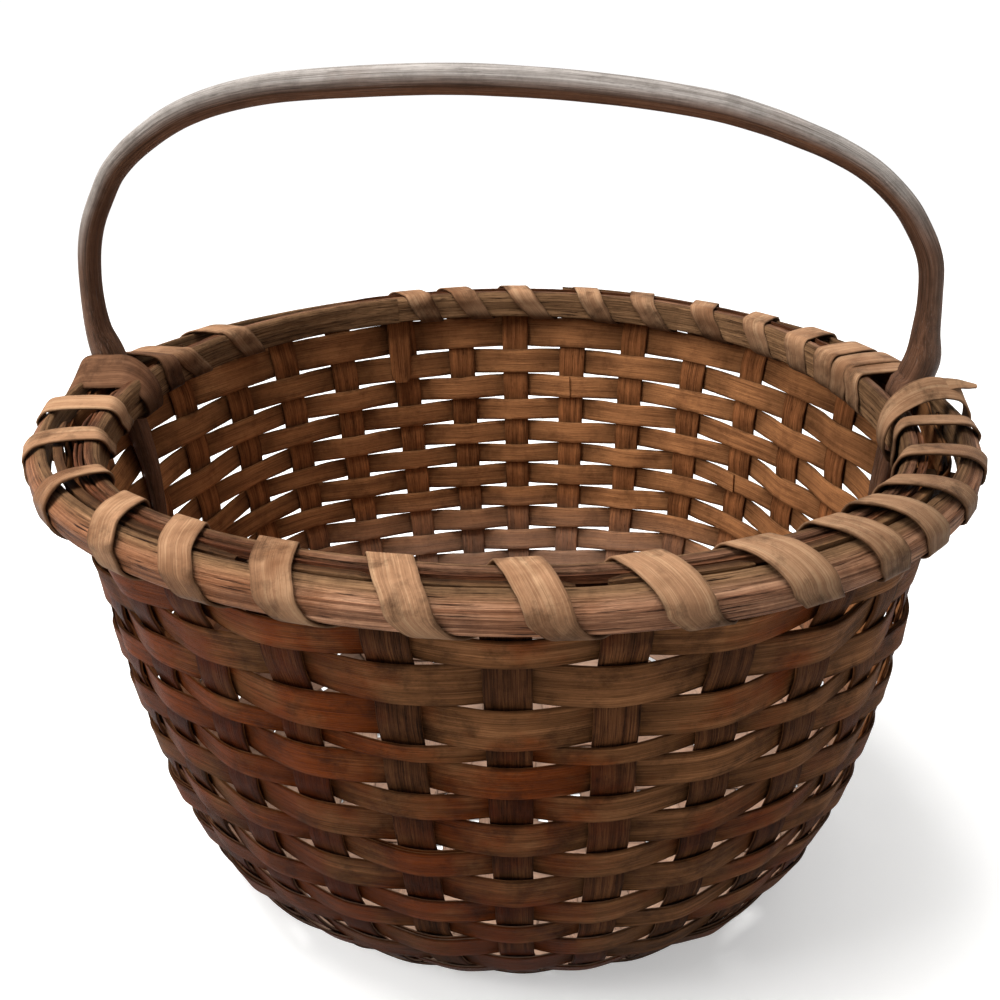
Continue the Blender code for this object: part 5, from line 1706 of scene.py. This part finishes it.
class Studio:
    """Pale floor, soft light and the camera at the photograph's viewing angle."""

    # Camera fitted to the photograph, in the drawing frame in millimetres
    EYE = np.array((66.988, -429.885, 145.003))
    YAW = -0.159578
    PITCH = 0.444001
    ROLL = -0.035840
    LENS = 36.514
    SENSOR = 36.0
    # How strongly the sky lights the basket, and how bright it shows behind
    SKY_LIGHT, SKY_SHOWN = 0.42, 1.05
    # Each lamp's name, place and aim in metres, side, and power in watts
    LAMPS = (("overhead", (-0.3, -0.1, 1.5), (0.0, 0.0, 0.15), 0.8, 32.0),
             ("window", (-1.4, -0.9, 1.3), (0.0, 0.0, 0.14), 0.7, 24.0),
             ("back_fill", (0.9, 1.5, 1.0), (0.0, 0.0, 0.15), 1.0, 6.0))
    FLOOR = ((-3.0, -3.0, 0.0), (3.0, -3.0, 0.0), (3.0, 1.5, 0.0), (-3.0, 1.5, 0.0))

    def camera(self) -> None:
        """Create the camera and make it the scene's own."""
        data = bpy.data.cameras.new("view")
        data.lens = self.LENS
        data.sensor_width = self.SENSOR
        data.sensor_fit = "HORIZONTAL"
        data.clip_start = 0.01
        forward = Vector((sin(self.YAW) * cos(self.PITCH), cos(self.YAW) * cos(self.PITCH), -sin(self.PITCH)))
        right = Vector((cos(self.YAW), -sin(self.YAW), 0.0))
        up = right.cross(forward)
        turned_right = cos(self.ROLL) * right + sin(self.ROLL) * up
        turned_up = -sin(self.ROLL) * right + cos(self.ROLL) * up
        matrix = Matrix((turned_right, turned_up, -forward)).transposed().to_4x4()
        matrix.translation = Vector(self.EYE * MM + DRAWING_ORIGIN)
        camera = bpy.data.objects.new("view", data)
        camera.matrix_world = matrix
        bpy.context.scene.collection.objects.link(camera)
        bpy.context.scene.camera = camera

    def floor(self) -> None:
        """Lay a wide pale floor under the basket."""
        mesh = bpy.data.meshes.new("pale_floor")
        mesh.from_pydata(self.FLOOR, [], [(0, 1, 2, 3)])
        # Matt painted board that glows a little, so that it shows as white as the backdrop
        material = bpy.data.materials.new("matt_painted_floor")
        material.use_nodes = True
        shader = material.node_tree.nodes["Principled BSDF"]
        shader.inputs["Base Color"].default_value = linear("f4f3f1")
        shader.inputs["Roughness"].default_value = 0.9
        shader.inputs["Emission Color"].default_value = linear("ffffff")
        shader.inputs["Emission Strength"].default_value = 0.35
        mesh.materials.append(material)
        floor = bpy.data.objects.new("pale_floor", mesh)
        bpy.context.scene.collection.objects.link(floor)

    def light(self, name: str, place: tuple, aim: tuple, size: float, watts: float) -> None:
        """Add one soft white area light.

        Args:
            name: its name.
            place: where it stands, in metres.
            aim: the point that it faces.
            size: length of its side.
            watts: its power.
        """
        data = bpy.data.lights.new(name, "AREA")
        data.shape = "SQUARE"
        data.size = size
        data.energy = watts
        lamp = bpy.data.objects.new(name, data)
        lamp.location = place
        lamp.rotation_euler = (Vector(aim) - Vector(place)).to_track_quat("-Z", "Y").to_euler()
        bpy.context.scene.collection.objects.link(lamp)

    def build(self) -> None:
        """Set up floor, lights, sky and camera."""
        self.floor()
        for lamp in self.LAMPS:
            self.light(*lamp)
        world = bpy.data.worlds.new("studio")
        world.use_nodes = True
        tree = world.node_tree
        sky = tree.nodes["Background"]
        sky.inputs["Color"].default_value = linear("ffffff")
        seen = add_node(tree, "ShaderNodeLightPath").outputs["Is Camera Ray"]
        strength = add_node(tree, SPAN, {3: self.SKY_LIGHT, 4: self.SKY_SHOWN}, {0: seen})
        tree.links.new(strength.outputs[0], sky.inputs["Strength"])
        bpy.context.scene.world = world
        bpy.context.scene.view_settings.view_transform = "Standard"
        self.camera()


def main() -> None:
    """Build the basket's sub-assemblies in order and set up the studio."""
    shop = Workshop()
    for assembly in (BaseSplints(shop), Weaving(shop), Rim(shop), Handle(shop), Lashing(shop)):
        assembly.build()
        log.info("%s built", type(assembly).__name__)
    shop.discard_outlines()
    Studio().build()


if __name__ == "__main__":
    logging.basicConfig(level=logging.INFO)
    main()
